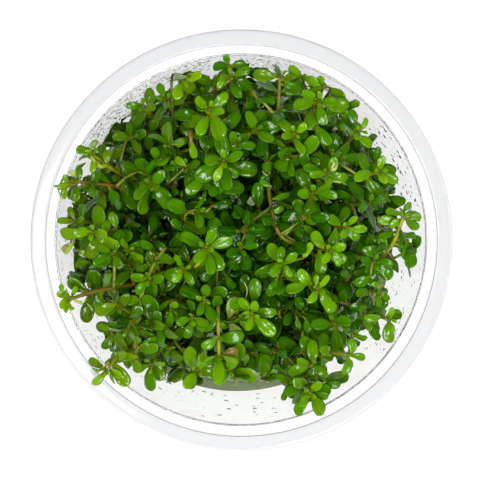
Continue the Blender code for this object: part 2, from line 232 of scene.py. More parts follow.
# The form of a drawn leaf: places along it and how wide it is there, places across it, its thickness, and the
# ripples of its margin: how many, how they shift with the leaf's roll and how they slant
STATIONS = np.array([-0.05, 0.09, 0.22, 0.40, 0.58, 0.74, 0.87, 0.96, 1.0])
STATION_WIDTHS = np.array([0.20, 0.27, 0.55, 0.86, 0.99, 1.0, 0.88, 0.60, 0.20])
TOP_SIDES = np.array([-1.0, -0.8, -0.42, 0.0, 0.42, 0.8, 1.0])
UNDER_SIDES = np.array([0.6, 0.0, -0.6])
BLADE_THICKNESS = 0.24
MARGIN_THINNING = 0.6
NARROW_THICKNESS = 0.4
RIPPLES = 9
RIPPLE_SHIFT = 5
RIPPLE_SLANT = 1.5
# What varies from leaf to leaf, in shares of its width or length or in radians. Young leaves are folded more.
Form = namedtuple("Form", "breadth crown fold arch curl bend roll twist wave")
FORM_RANGES = Form(
    breadth=(0.92, 1.14),
    crown=(0.05, 0.20),
    fold=(-0.15, 0.15),
    arch=(0.0, 0.08),
    curl=(-0.04, 0.22),
    bend=(-0.16, 0.16),
    roll=(-0.35, 0.35),
    twist=(-0.60, 0.60),
    wave=(0.0, 0.34),
)
YOUNG_FOLD = 0.22
# How bright a shoot of young and of grown leaves is at least, and how much brighter or darker one leaf may be
YOUNG_TONE = 0.75
GROWN_TONE = 0.45
STRAY_TONE = 0.10

# The form of a drawn stem, and how it swells at its nodes: by how much, over what length and how much redder
STEM_CORNERS = 8
STEM_SQUARENESS = 4
STEM_RING_SPACING = 1.1
STEM_LEAST_RINGS = 6
SWELL = 0.3
SWELL_LENGTH = 0.5
SWELL_TONE = 0.35
STEM_TONE_RANGE = (0.1, 0.5)
TWIG_TONE_RANGE = (0.15, 0.5)

# Each shoot: where its tip is seen (px), the tip's height (mm), the heading of its top pair of leaves
# (degrees from +X), the size of its leaves, how bright it is (0 old and dark, 1 young; the low tones of the
# deep shoots are partly painted shade), where its root is seen and the points (px, px, mm) that its stem
# passes on the way, if it doesn't simply rise from the gel
Shoot = namedtuple("Shoot", "x y height yaw size tone root route", defaults=(None, ()))
SHOOTS = tuple(Shoot(*row) for row in (
    (380, 171, 55, 95, 0.85, 1),
    (360, 131, 54.5, 60, 0.75, 0.9),
    (295, 133, 54.5, 30, 0.8, 0.9),
    (209, 109, 54.5, 150, 0.95, 0.9),
    (347, 227, 54.5, 55, 0.8, 0.9),
    (331, 250, 54, 50, 0.9, 1),
    (318, 289, 54, 55, 0.9, 1),
    (283, 264, 53.5, 215, 0.95, 0.9),
    (252, 314, 54, 75, 0.95, 0.9),
    (224, 160, 54.5, 5, 1.15, 0.7),
    (206, 247, 54, 65, 1.1, 0.8),
    (93, 232, 53.5, 175, 1.05, 0.8),
    (404, 216, 55.5, 50, 0.8, 0.8, (345, 268), ((383, 257, 47), (396, 238, 53))),
    (390, 320, 54, 85, 0.75, 0.9, (350, 305)),
    (348, 355, 56, 70, 0.75, 0.9, (302, 332), ((320, 355, 49), (333, 353, 54))),
    (310, 393, 55, 235, 0.95, 0.8, (291, 354)),
    (107, 371, 59.5, 150, 0.8, 0.8, (140, 322), ((138, 350, 50), (117, 357, 58))),
    (70, 299, 56.5, 215, 0.8, 0.9, (150, 285), ((122, 286, 49), (92, 292, 54))),
    (280, 76, 54, 80, 0.95, 0.6, (275, 140), ((278, 112, 49),)),
    (318, 101, 53, 165, 1.05, 0.7),
    (219, 356, 54, 190, 1.0, 0.8, (218, 292), ((218, 315, 49),)),
    (329, 172, 54, 70, 0.9, 0.9),
    (231, 76, 54, 15, 0.75, 0.7),
    (313, 193, 51, 190, 1.05, 0.7),
    (149, 278, 51, 0, 1.0, 0.7),
    (312, 366, 53, 155, 1.05, 0.6),
    (204, 299, 51, 75, 0.95, 0.6),
    (184, 269, 50.5, 300, 0.95, 0.8),
    (192, 318, 50, 190, 0.95, 0.6),
    (267, 160, 47, 5, 0.9, 0.4, (296, 265), ((302, 246, 48), (281, 236, 51.5), (271, 205, 51))),
    (214, 85, 46, 158, 1.1, 0.5),
    (191, 139, 48, 200, 0.9, 0.5),
    (165, 99, 50, 110, 0.85, 0.5),
    (143, 106, 50, 160, 0.9, 0.6),
    (132, 137, 48, 180, 1.0, 0.5),
    (91, 154, 53, 170, 0.7, 0.6, (130, 175), ((107, 165, 49),)),
    (76, 182, 51.5, 95, 0.95, 0.6, (120, 195), ((100, 184, 49),)),
    (75, 221, 51, 175, 0.7, 0.7),
    (99, 192, 46, 310, 1.1, 0.4),
    (130, 181, 46, 130, 1.0, 0.4),
    (184, 232, 46, 130, 1.0, 0.4),
    (241, 248, 49, 200, 0.95, 0.4),
    (118, 268, 44, 335, 1.0, 0.3),
    (92, 262, 47, 185, 0.8, 0.3),
    (118, 306, 50, 215, 1.0, 0.6),
    (112, 334, 47, 250, 0.9, 0.6),
    (150, 364, 49, 200, 0.95, 0.6),
    (170, 349, 47, 140, 0.95, 0.4),
    (353, 334, 48, 150, 0.8, 0.6),
    (366, 316, 48, 130, 0.85, 0.5),
    (378, 294, 49, 90, 0.7, 0.7),
    (375, 262, 51, 180, 1.05, 0.5),
    (371, 203, 49, 15, 1.05, 0.4),
    (288, 388, 49, 210, 0.8, 0.5),
    (186, 166, 48, 0, 0.9, 0.6),
    (249, 96, 43, 170, 1.0, 0.2),
    (294, 310, 43, 50, 1.0, 0.3),
    (250, 352, 44, 275, 0.9, 0.5),
))

# Stems whose colour is seen, by the number of their shoot: 0 yellow-green, 0.5 olive, 1 red-brown
STEM_TONES = {13: 0.15, 17: 0.35, 18: 0.65, 19: 0.45, 21: 0.0, 25: 0.4, 30: 0.55, 36: 0.2, 37: 0.75}

# Side twigs that the photograph shows between the shoots, each on the stem that passes nearest to it
Twig = namedtuple("Twig", "x y height yaw size tone")
TWIGS = tuple(Twig(*row) for row in (
    (322, 86, 52, 60, 0.8, 0.9), (342, 108, 49, 20, 1.0, 0.4), (278, 112, 49, 290, 0.9, 0.5),
    (255, 135, 40, 90, 1.0, 0.3), (152, 190, 43, 40, 1.0, 0.4), (168, 188, 45, 170, 0.9, 0.5),
    (218, 182, 50, 260, 1.1, 0.5), (182, 199, 44, 215, 1.0, 0.4), (165, 325, 44, 60, 0.9, 0.4),
    (237, 317, 50, 20, 0.9, 1.3), (235, 331, 46, 110, 0.9, 0.5), (270, 287, 46, 250, 1.0, 0.6),
    (291, 273, 49, 345, 0.9, 0.6), (306, 170, 48, 275, 1.0, 0.5), (240, 375, 37, 20, 0.9, 0.4),
    (195, 372, 38, 270, 1.0, 0.4), (270, 380, 37, 100, 0.9, 0.4), (325, 320, 45, 60, 0.9, 0.4),
    (322, 384, 50, 320, 1.1, 0.6), (352, 273, 47, 190, 1.0, 0.5), (408, 245, 50, 280, 0.9, 0.5),
    (352, 200, 45, 100, 0.9, 0.4), (107, 160, 48, 120, 0.8, 0.6), (152, 262, 50, 55, 0.9, 0.7),
    (141, 307, 48, 320, 0.9, 0.6), (88, 290, 49, 150, 1.1, 0.4), (60, 186, 54, 240, 0.7, 0.9),
    (97, 250, 48, 200, 0.9, 0.6),
))

# Single leaves that the photograph shows: where the leaf's base is seen (px), its height (mm), its heading
# (degrees), its length (px) and how bright it is (a little past 1 it turns pale, and at 2 it is tan)
SeenLeaf = namedtuple("SeenLeaf", "x y height heading length tone")
SEEN_LEAVES = tuple(SeenLeaf(*row) for row in (
    # Top
    (229, 66, 53, 180, 16, 0.3), (231, 66, 53, 10, 16, 0.3), (229, 64, 53, 120, 12, 0.4),
    (218, 90, 52, 70, 14, 1.0), (211, 107, 53, 30, 21, 0.9), (211, 113, 51, 295, 30, 0.7),
    (192, 142, 50, 275, 17, 1.0), (222, 133, 48, 50, 27, 0.5), (200, 115, 45, 185, 25, 0.4),
    (283, 78, 53, 10, 13, 0.6), (277, 77, 52, 175, 24, 0.6), (284, 80, 52, 315, 20, 0.6),
    (321, 101, 52, 345, 28, 0.6), (315, 102, 52, 190, 22, 0.7), (319, 104, 52, 280, 22, 0.7),
    (335, 108, 51, 335, 16, 0.4), (315, 125, 50, 300, 26, 0.6), (357, 123, 53, 115, 15, 0.5),
    (226, 77, 53, 230, 14, 1.0), (233, 75, 53, 15, 18, 0.6), (284, 85, 52, 350, 20, 0.45),
    (276, 98, 49, 185, 22, 0.4),
    # Left and upper left
    (92, 152, 54, 165, 16, 0.5), (92, 150, 54, 205, 10, 0.8), (93, 158, 53, 280, 14, 0.8),
    (91, 149, 54, 60, 11, 0.6), (70, 184, 54, 195, 14, 0.9), (67, 186, 54, 245, 13, 0.9),
    (68, 182, 54, 130, 10, 0.9), (63, 190, 54, 265, 9, 0.9), (80, 181, 54, 95, 13, 0.45),
    (71, 220, 52, 185, 14, 0.85), (75, 219, 52, 125, 13, 0.4), (89, 262, 50, 185, 14, 0.4),
    (96, 257, 50, 110, 16, 0.6), (70, 247, 50, 195, 13, 1.75), (107, 165, 51, 90, 15, 0.6),
    (78, 176, 53, 150, 10, 1.2), (77, 185, 51, 265, 17, 0.6), (83, 184, 51, 320, 18, 0.5),
    (92, 186, 50, 60, 18, 0.5), (73, 184, 52, 205, 16, 0.8), (88, 232, 53, 180, 27, 0.7),
    (97, 235, 53, 325, 24, 0.9), (74, 243, 51, 215, 14, 1.3), (104, 238, 50, 85, 18, 0.8),
    (116, 229, 50, 95, 18, 0.7),
    # Centre
    (221, 163, 53, 215, 30, 0.6), (222, 165, 54, 245, 17, 1.2), (205, 178, 51, 222, 25, 0.6),
    (225, 167, 51, 325, 16, 0.6), (222, 170, 50, 262, 25, 0.5), (212, 206, 46, 0, 20, 0.3),
    (186, 166, 49, 140, 14, 0.9), (188, 167, 48, 315, 16, 0.3), (168, 183, 46, 100, 15, 0.5),
    (193, 228, 47, 225, 18, 0.6), (203, 250, 53, 240, 12, 1.2), (210, 247, 53, 20, 24, 0.8),
    (207, 251, 52, 285, 24, 0.7), (183, 272, 50, 225, 15, 1.0), (147, 281, 51, 225, 17, 0.7),
    (205, 303, 50, 295, 24, 0.6), (201, 298, 49, 150, 24, 0.3), (191, 321, 49, 260, 18, 0.6),
    (195, 321, 49, 320, 15, 0.6), (217, 322, 50, 215, 18, 0.7), (219, 322, 50, 320, 10, 0.7),
    (217, 338, 52, 220, 18, 0.8), (219, 338, 52, 0, 25, 0.5), (219, 358, 53, 262, 28, 1.0),
    (222, 354, 53, 5, 17, 2.1), (271, 186, 51, 160, 13, 0.5), (270, 214, 51, 180, 13, 0.5),
    (272, 213, 51, 20, 13, 0.9), (273, 199, 51, 15, 17, 0.6), (270, 172, 50, 230, 13, 0.4),
    (303, 258, 52, 60, 17, 1.1), (285, 266, 52, 300, 13, 0.9), (282, 262, 52, 100, 15, 0.9),
    (277, 278, 49, 250, 20, 0.8), (250, 312, 53, 120, 17, 0.9), (254, 318, 52, 325, 27, 0.8),
    (317, 287, 53, 100, 12, 1.1), (320, 292, 52, 310, 24, 0.8), (333, 252, 53, 305, 15, 0.9),
    (350, 228, 53, 350, 17, 0.9), (316, 193, 50, 0, 22, 0.6), (311, 197, 50, 262, 28, 0.6),
    (327, 173, 52, 190, 18, 0.8), (332, 173, 54, 75, 13, 1.5), (297, 318, 47, 275, 11, 1.15),
    (306, 319, 47, 280, 14, 1.15),
    # Right
    (398, 222, 53, 165, 20, 0.8), (404, 212, 54, 60, 12, 0.7), (411, 218, 53, 350, 10, 0.8),
    (396, 232, 52, 200, 17, 0.6), (398, 240, 50, 300, 14, 0.35), (410, 247, 50, 275, 22, 0.5),
    (385, 253, 51, 95, 18, 0.6), (382, 173, 53, 325, 18, 0.9), (401, 215, 54, 160, 16, 0.9),
    (402, 219, 54, 205, 14, 0.9), (407, 215, 54, 0, 15, 0.8), (406, 219, 53, 315, 16, 0.6),
    (400, 228, 51, 280, 18, 0.3), (408, 240, 50, 270, 20, 0.6), (386, 256, 49, 180, 25, 0.7),
    (376, 263, 49, 320, 22, 0.5), (384, 282, 49, 195, 12, 0.9), (393, 258, 49, 250, 14, 0.3),
    (371, 276, 48, 215, 18, 0.5), (380, 296, 48, 350, 11, 0.8), (379, 299, 47, 265, 15, 0.3),
    (366, 305, 47, 190, 17, 0.5), (373, 325, 47, 285, 17, 0.5), (389, 322, 52, 265, 21, 0.8),
    (392, 319, 52, 20, 11, 0.5),
    # Bottom
    (69, 298, 56, 222, 16, 1.0), (63, 293, 56, 110, 9, 0.9), (67, 302, 56, 300, 10, 0.9),
    (74, 300, 56, 345, 9, 1.3), (116, 304, 51, 205, 22, 0.8), (113, 334, 50, 240, 14, 0.6),
    (112, 330, 50, 160, 14, 0.7), (114, 334, 49, 280, 18, 0.35), (137, 357, 56, 178, 26, 0.7),
    (141, 318, 50, 215, 17, 0.6), (139, 330, 51, 330, 18, 0.6), (138, 338, 52, 190, 19, 0.5),
    (140, 346, 52, 20, 18, 0.6), (351, 355, 56, 75, 16, 0.8), (349, 357, 56, 262, 18, 0.8),
    (352, 355, 56, 345, 14, 0.8), (313, 363, 52, 95, 22, 0.8), (309, 367, 52, 190, 21, 0.7),
    (312, 395, 54, 350, 17, 0.6), (309, 396, 55, 232, 23, 0.65), (312, 397, 55, 310, 22, 0.75),
    (299, 385, 52, 212, 24, 0.55), (290, 387, 48, 60, 18, 0.5), (245, 365, 47, 80, 12, 0.9),
    (266, 361, 46, 85, 12, 0.9), (69, 297, 55, 150, 14, 1.0), (72, 296, 55, 60, 11, 1.0),
    (88, 292, 53, 150, 24, 0.4), (102, 290, 51, 250, 20, 0.5), (120, 302, 50, 10, 19, 0.6),
    (104, 372, 58, 232, 17, 1.0), (104, 368, 58, 150, 17, 0.6), (109, 369, 58, 330, 15, 1.0),
    (113, 362, 57, 300, 28, 0.7), (137, 358, 51, 275, 15, 0.6), (150, 366, 48, 272, 25, 0.5),
    (135, 353, 52, 90, 10, 1.1),
))
# How a seen leaf may be pitched and turned until it has room, and the share that may pass through others
SEEN_PITCHES = (12, 28, 0, 42, -12, 58)
SEEN_TURNS = (0, 12, -12, 25, -25)
SEEN_SHRINKS = SHRINKS[:3]
SEEN_OVERLAP = 0.25
# Its stalk: how much lower it joins the stem, the least length that is drawn, and how much it sags
STALK_DROP = 1.0
STALK_LEAST = 1.0
STALK_SAG = 0.3
STALK_SAMPLES = 12

# Pieces of stem, and thin roots, that the photograph shows by themselves: the points that they pass
# (px, px, mm), half their width (mm) and their tone, which is that of the stems, and 2 for a pale root
SeenStem = namedtuple("SeenStem", "points half_width tone")
SEEN_STEMS = tuple(SeenStem(*row) for row in (
    (((166, 247, 49), (155, 262, 50.5), (148, 277, 51)), 0.38, 0.4),
    (((145, 284, 50.5), (142, 293, 50), (140, 307, 48)), 0.45, 0.05),
    (((194, 267, 50), (200, 262, 52), (206, 249, 53)), 0.35, 0.1),
    (((283, 236, 51), (290, 230, 51.5), (297, 222, 51)), 0.35, 0.45),
    (((98, 163, 52), (99, 166, 52.5), (107, 165, 51)), 0.50, 0.15),
    (((91, 155, 53), (94, 160, 53), (98, 164, 52)), 0.45, 0.2),
    (((190, 131, 49), (191, 138, 50), (190, 146, 49)), 0.50, 0.85),
    (((110, 362, 58), (104, 367, 58.5), (97, 372, 58)), 0.30, 0.1),
    (((253, 375, 44), (262, 373, 45), (272, 374, 44)), 0.10, 2.0),
    (((252, 364, 44), (247, 370, 44.5), (240, 376, 43)), 0.10, 1.8),
    (((243, 281, 50), (247, 288, 50.5), (246, 298, 49)), 0.10, 1.8),
    (((262, 171, 50), (266, 175, 50.5), (269, 176, 50)), 0.10, 1.6),
    (((280, 216, 50), (275, 219, 51), (270, 218, 51)), 0.12, 1.6),
))
# Roots from the foot of each stem: how far they spread and go down, how much nearer the middle they end, and
# where and by how much they bend upwards
ROOTS_EACH = 3
ROOT_SPREAD = (1.5, 5.0)
ROOT_DEPTHS = (3.0, 9.0)
ROOT_INWARD = np.array([0.93, 0.93, 1.0])
ROOT_BEND_AT = 0.4
ROOT_BEND_RISE = 0.4
ROOT_HALF_WIDTHS = (0.07, 0.20)
ROOT_SAMPLES = 24
ROOT_TONE = 2.0

Stem = namedtuple("Stem", "points lengths tangents sides")
Leaf = namedtuple("Leaf", "base along across up length half_width")


def place_seen(px_x, px_y, height):
    """Where something seen at this pixel of the photograph is, if it is at this height."""
    depth = RIM_TOP - height
    scale = MM_PER_PX * (VIEW_DISTANCE + depth) / VIEW_DISTANCE
    x = (px_x - RIM_CENTRE_PX[0]) * scale + VIEW_SLANT[0] * depth
    y = (RIM_CENTRE_PX[1] - px_y) * scale + VIEW_SLANT[1] * depth
    return np.array([x, y, height])


def inner_radius(heights):
    """The radius of the cup's inside at each height."""
    rise = (heights - FLOOR_TOP) / (LIP_HEIGHT - FLOOR_TOP)
    wall = INNER_FLOOR_RADIUS + rise * (LIP_RADIUS - INNER_FLOOR_RADIUS)
    return np.where(heights > LIP_HEIGHT, COLLAR_RADIUS, wall)


def unit(vector):
    return vector / np.linalg.norm(vector)


def off_axis(place):
    """How far a place is from the cup's axis."""
    return math.hypot(place[0], place[1])


def level(heading):
    """The level direction at a heading in radians."""
    return np.array([math.cos(heading), math.sin(heading), 0.0])


def walked_along(points):
    """How far each point is from the first, along the line through all of them."""
    return np.concatenate([[0], np.cumsum(np.linalg.norm(np.diff(points, axis=0), axis=1))])


def across_to(vector, axis):
    """The part of a vector that is square to the axis, as a unit vector."""
    return unit(vector - axis * np.dot(vector, axis))


def stem_stops(shoot, spread):
    """The points that a stem passes, from its root on the gel to its tip."""
    ground = GEL_TOP + ROOT_GAP
    tip = place_seen(shoot.x, shoot.y, shoot.height)
    if shoot.root:
        root = place_seen(*shoot.root, ground)
    else:
        root = tip * ROOT_PULL
        root[:2] += (spread.uniform(-1, 1), spread.uniform(-1, 1))
    root[:2] *= min(1.0, ROOT_REACH / off_axis(root))
    root[2] = ground
    route = [place_seen(*stop) for stop in shoot.route]
    if not route:
        middle = root + (tip - root) * MIDDLE_PULL
        middle[2] = ground + (tip[2] - ground) * MIDDLE_SHARE
        route = [middle]
    return np.array([root, *route, tip])


def smooth_curve(stops, count):
    """A curve through the stops that leaves the first one straight up, as evenly spaced points."""
    times = walked_along(stops)
    slopes = np.gradient(stops, times, axis=0)
    slopes[0] = (0, 0, 1)
    fine = np.linspace(0, times[-1], count * 4)
    span = np.clip(np.searchsorted(times, fine, side="right") - 1, 0, len(stops) - 2)
    width = np.diff(times)[span][:, None]
    t = (fine - times[span])[:, None] / width
    points = (
        (2 * t**3 - 3 * t**2 + 1) * stops[span]
        + (t**3 - 2 * t**2 + t) * width * slopes[span]
        + (3 * t**2 - 2 * t**3) * stops[span + 1]
        + (t**3 - t**2) * width * slopes[span + 1]
    )
    walked = walked_along(points)
    even = np.linspace(0, walked[-1], count)
    return np.stack([np.interp(even, walked, points[:, axis]) for axis in range(3)], axis=1)


def grow_stem(stops, yaw, count=STEM_SAMPLES):
    """The stem's middle line, and at each point the way it runs and the way its first side faces."""
    points = smooth_curve(stops, count)
    lengths = walked_along(points)
    tangents = np.gradient(points, lengths, axis=0)
    tangents /= np.linalg.norm(tangents, axis=1)[:, None]
    side = level(math.radians(yaw))
    sides = np.empty_like(points)
    for index in reversed(range(count)):
        side = across_to(side, tangents[index])
        sides[index] = side
    return Stem(points, lengths, tangents, sides)


def stem_at(stem, depth):
    """The place and direction of the stem, and its first two sides, at a depth below its tip."""
    along = max(stem.lengths[-1] - depth, 0.0)
    index = int(np.argmin(np.abs(stem.lengths - along)))
    place = np.array([np.interp(along, stem.lengths, stem.points[:, axis]) for axis in range(3)])
    tangent, side = stem.tangents[index], stem.sides[index]
    return place, tangent, side, np.cross(tangent, side)


def half_width_at(stem, depth, half_widths=STEM_HALF_WIDTHS):
    share = depth / stem.lengths[-1]
    return half_widths[1] + share * (half_widths[0] - half_widths[1])


class Room:
    """Which small cubes of the space are taken, and by which stem or shoot's leaves."""

    def __init__(self):
        self.owner = np.full(GRID_CELLS, -1, np.int16)
        reach = range(-1, 2)
        self.near = np.array([(x, y, z) for x in reach for y in reach for z in reach])

    def cells(self, points):
        return np.floor((points - GRID_LOW) / CELL).astype(int)

    def take(self, points, owner):
        cells = (self.cells(points)[:, None, :] + self.near).reshape(-1, 3)
        self.owner[tuple(cells.T)] = owner

    def take_closely(self, points, owner):
        """Takes only the cubes that the points are in, so that a thin leaf may lie right beside."""
        self.owner[tuple(self.cells(points).T)] = owner

    def cover(self, place, radius, height):
        """The share of the square round a place that something covers, at this height or over it."""
        low = self.cells(place - (radius, radius, 0))
        high = self.cells(place + (radius, radius, 0)) + 1
        lowest = int((height - GRID_LOW[2]) / CELL)
        columns = self.owner[low[0]:high[0], low[1]:high[1], lowest:]
        return float((columns >= 0).any(axis=2).mean())

    def is_free(self, points, own=(), overlap=0.0):
        """True where at most this share of the points is in cubes that other owners have taken."""
        found = self.owner[tuple(self.cells(points).T)]
        taken = ~np.isin(found, (-1, *own))
        return bool(taken.mean() <= overlap)


def inside_cup(points):
    """True where every point stays clear of the cup's wall, the gel and the space kept at the front."""
    radii = np.hypot(points[:, 0], points[:, 1])
    over_rim = points[:, 2] > RIM_TOP + WALL_ROOM
    limits = np.where(over_rim, RIM_DIAMETER / 2, inner_radius(points[:, 2]))
    within = radii < limits - WALL_ROOM
    above_ledge = (radii < LIP_RADIUS - WALL_ROOM) | (points[:, 2] > LIP_HEIGHT + WALL + WALL_ROOM)
    above_gel = points[:, 2] > GEL_TOP + WALL_ROOM
    (low_x, high_x), (low_y, high_y) = FRONT_SPACE
    in_front = (points[:, 0] > low_x) & (points[:, 0] < high_x)
    in_front &= (points[:, 1] > low_y) & (points[:, 1] < high_y)
    return bool(np.all(within & above_ledge & above_gel & ~in_front))


def leaf_points(leaf, shares, sides, lift=0.0):
    """Points of the leaf's blade: shares of the way from base to tip, sides in millimetres to the left."""
    along = np.multiply.outer(leaf.length * shares, leaf.along)
    across = np.multiply.outer(sides, leaf.across)
    up = np.multiply.outer(lift - LEAF_DROOP * leaf.length * shares**2, leaf.up)
    return leaf.base + along + across + up


def leaf_width(leaf, shares):
    """Half the blade's width at shares of its length: widest past the middle, and round at the tip."""
    widening = LEAF_BASE_SHARE + (1 - LEAF_BASE_SHARE) * shares / LEAF_WIDEST_AT
    past = (shares - LEAF_WIDEST_AT) / (1 - LEAF_WIDEST_AT)
    return leaf.half_width * np.minimum(widening, 1 - (1 - LEAF_TIP_SHARE) * past)


def leaf_samples(leaf):
    """Points spread over the blade, without its first quarter, which is at the leaf's own stem."""
    sides = SAMPLES_ACROSS * leaf_width(leaf, SAMPLES_ALONG)
    return leaf_points(leaf, SAMPLES_ALONG, sides)


def new_leaf(base, along, across, length):
    return Leaf(base, along, across, np.cross(along, across), length, length * LEAF_ASPECT / 2)


def aim_leaf(stem, depth, side_number, turn, pitch, length):
    """A leaf on one of the stem's four sides, turned about the stem and pitched up towards its tip."""
    place, tangent, first_side, second_side = stem_at(stem, depth)
    facing = (first_side, second_side, -first_side, -second_side)[side_number]
    angle = math.radians(turn)
    turned_facing = facing * math.cos(angle) + np.cross(tangent, facing) * math.sin(angle)
    rise = math.radians(pitch)
    along = unit(turned_facing * math.cos(rise) + tangent * math.sin(rise))
    base = place + facing * half_width_at(stem, depth)
    return new_leaf(base, along, unit(np.cross(tangent, along)), length)


def leaves_to_try(stem, depth, side_number, pitch, length):
    """A leaf as it should be, and then shrunk, tilted and turned in more and more ways."""
    for shrink, tilt, turn in itertools.product(SHRINKS, TILTS, TURNS):
        yield aim_leaf(stem, depth, side_number, turn, pitch + tilt, length * shrink)


def seen_leaves_to_try(seen):
    """The seen leaf as it is seen, and then shrunk, turned and pitched in more and more ways."""
    base = place_seen(*seen[:3])
    for shrink, turn, pitch in itertools.product(SEEN_SHRINKS, SEEN_TURNS, SEEN_PITCHES):
        outward = level(math.radians(seen.heading + turn))
        rise = math.radians(pitch)
        along = outward * math.cos(rise) + (0, 0, math.sin(rise))
        across = np.array([-outward[1], outward[0], 0.0])
        yield new_leaf(base, along, across, seen.length * MM_PER_PX * shrink)


def first_with_room(leaves, room, own, overlap):
    """The first of these leaves that stays in the cup and touches no other; None if none does."""
    for leaf in leaves:
        points = leaf_samples(leaf)
        if inside_cup(points) and room.is_free(points, own, overlap):
            return leaf
    return None


def opposite_sides(pair):
    """The two sides of the stem that a pair of leaves is on. Each pair is crossed to the one before."""
    return pair % 2, pair % 2 + 2


def within_reach(place):
    """True where the photograph shows the clump of leaves to reach out as far as this place."""
    heading = math.degrees(math.atan2(place[1], place[0])) % 360
    return off_axis(place) < np.interp(heading, *zip(*REACHES))


def take_stem(room, stem, owner):
    """Takes the room of a stem: its middle line and its four corners."""
    first = stem.sides * STEM_HALF_WIDTHS[0]
    second = np.cross(stem.tangents, first)
    corners = (first + second, first - second, second - first, -first - second)
    room.take(np.concatenate([stem.points, *(stem.points + corner for corner in corners)]), owner)


def pair_count(shoot):
    """How many pairs of leaves are part of the solid. The deep shoots show fewer."""
    return DEEP_PAIRS if shoot.height < DEEP_TIP else FULL_PAIRS


def painted_shade_at(place):
    """How much painted shade darkens a leaf's colour at this place, for the dark gaps near it."""
    spread = [math.hypot(place[0] - x, place[1] - y) / size for x, y, size in DARK_GAPS]
    return GAP_SHADE * math.exp(-min(spread) ** 2)


def warmest_at(place):
    """How olive a leaf can be at this place: more towards the wall, and most on the left."""
    outward = off_axis(place) / LIP_RADIUS
    leftward = 0.5 - 0.5 * place[0] / LIP_RADIUS
    return outward * (WARMEST[0] + leftward * (WARMEST[1] - WARMEST[0]))


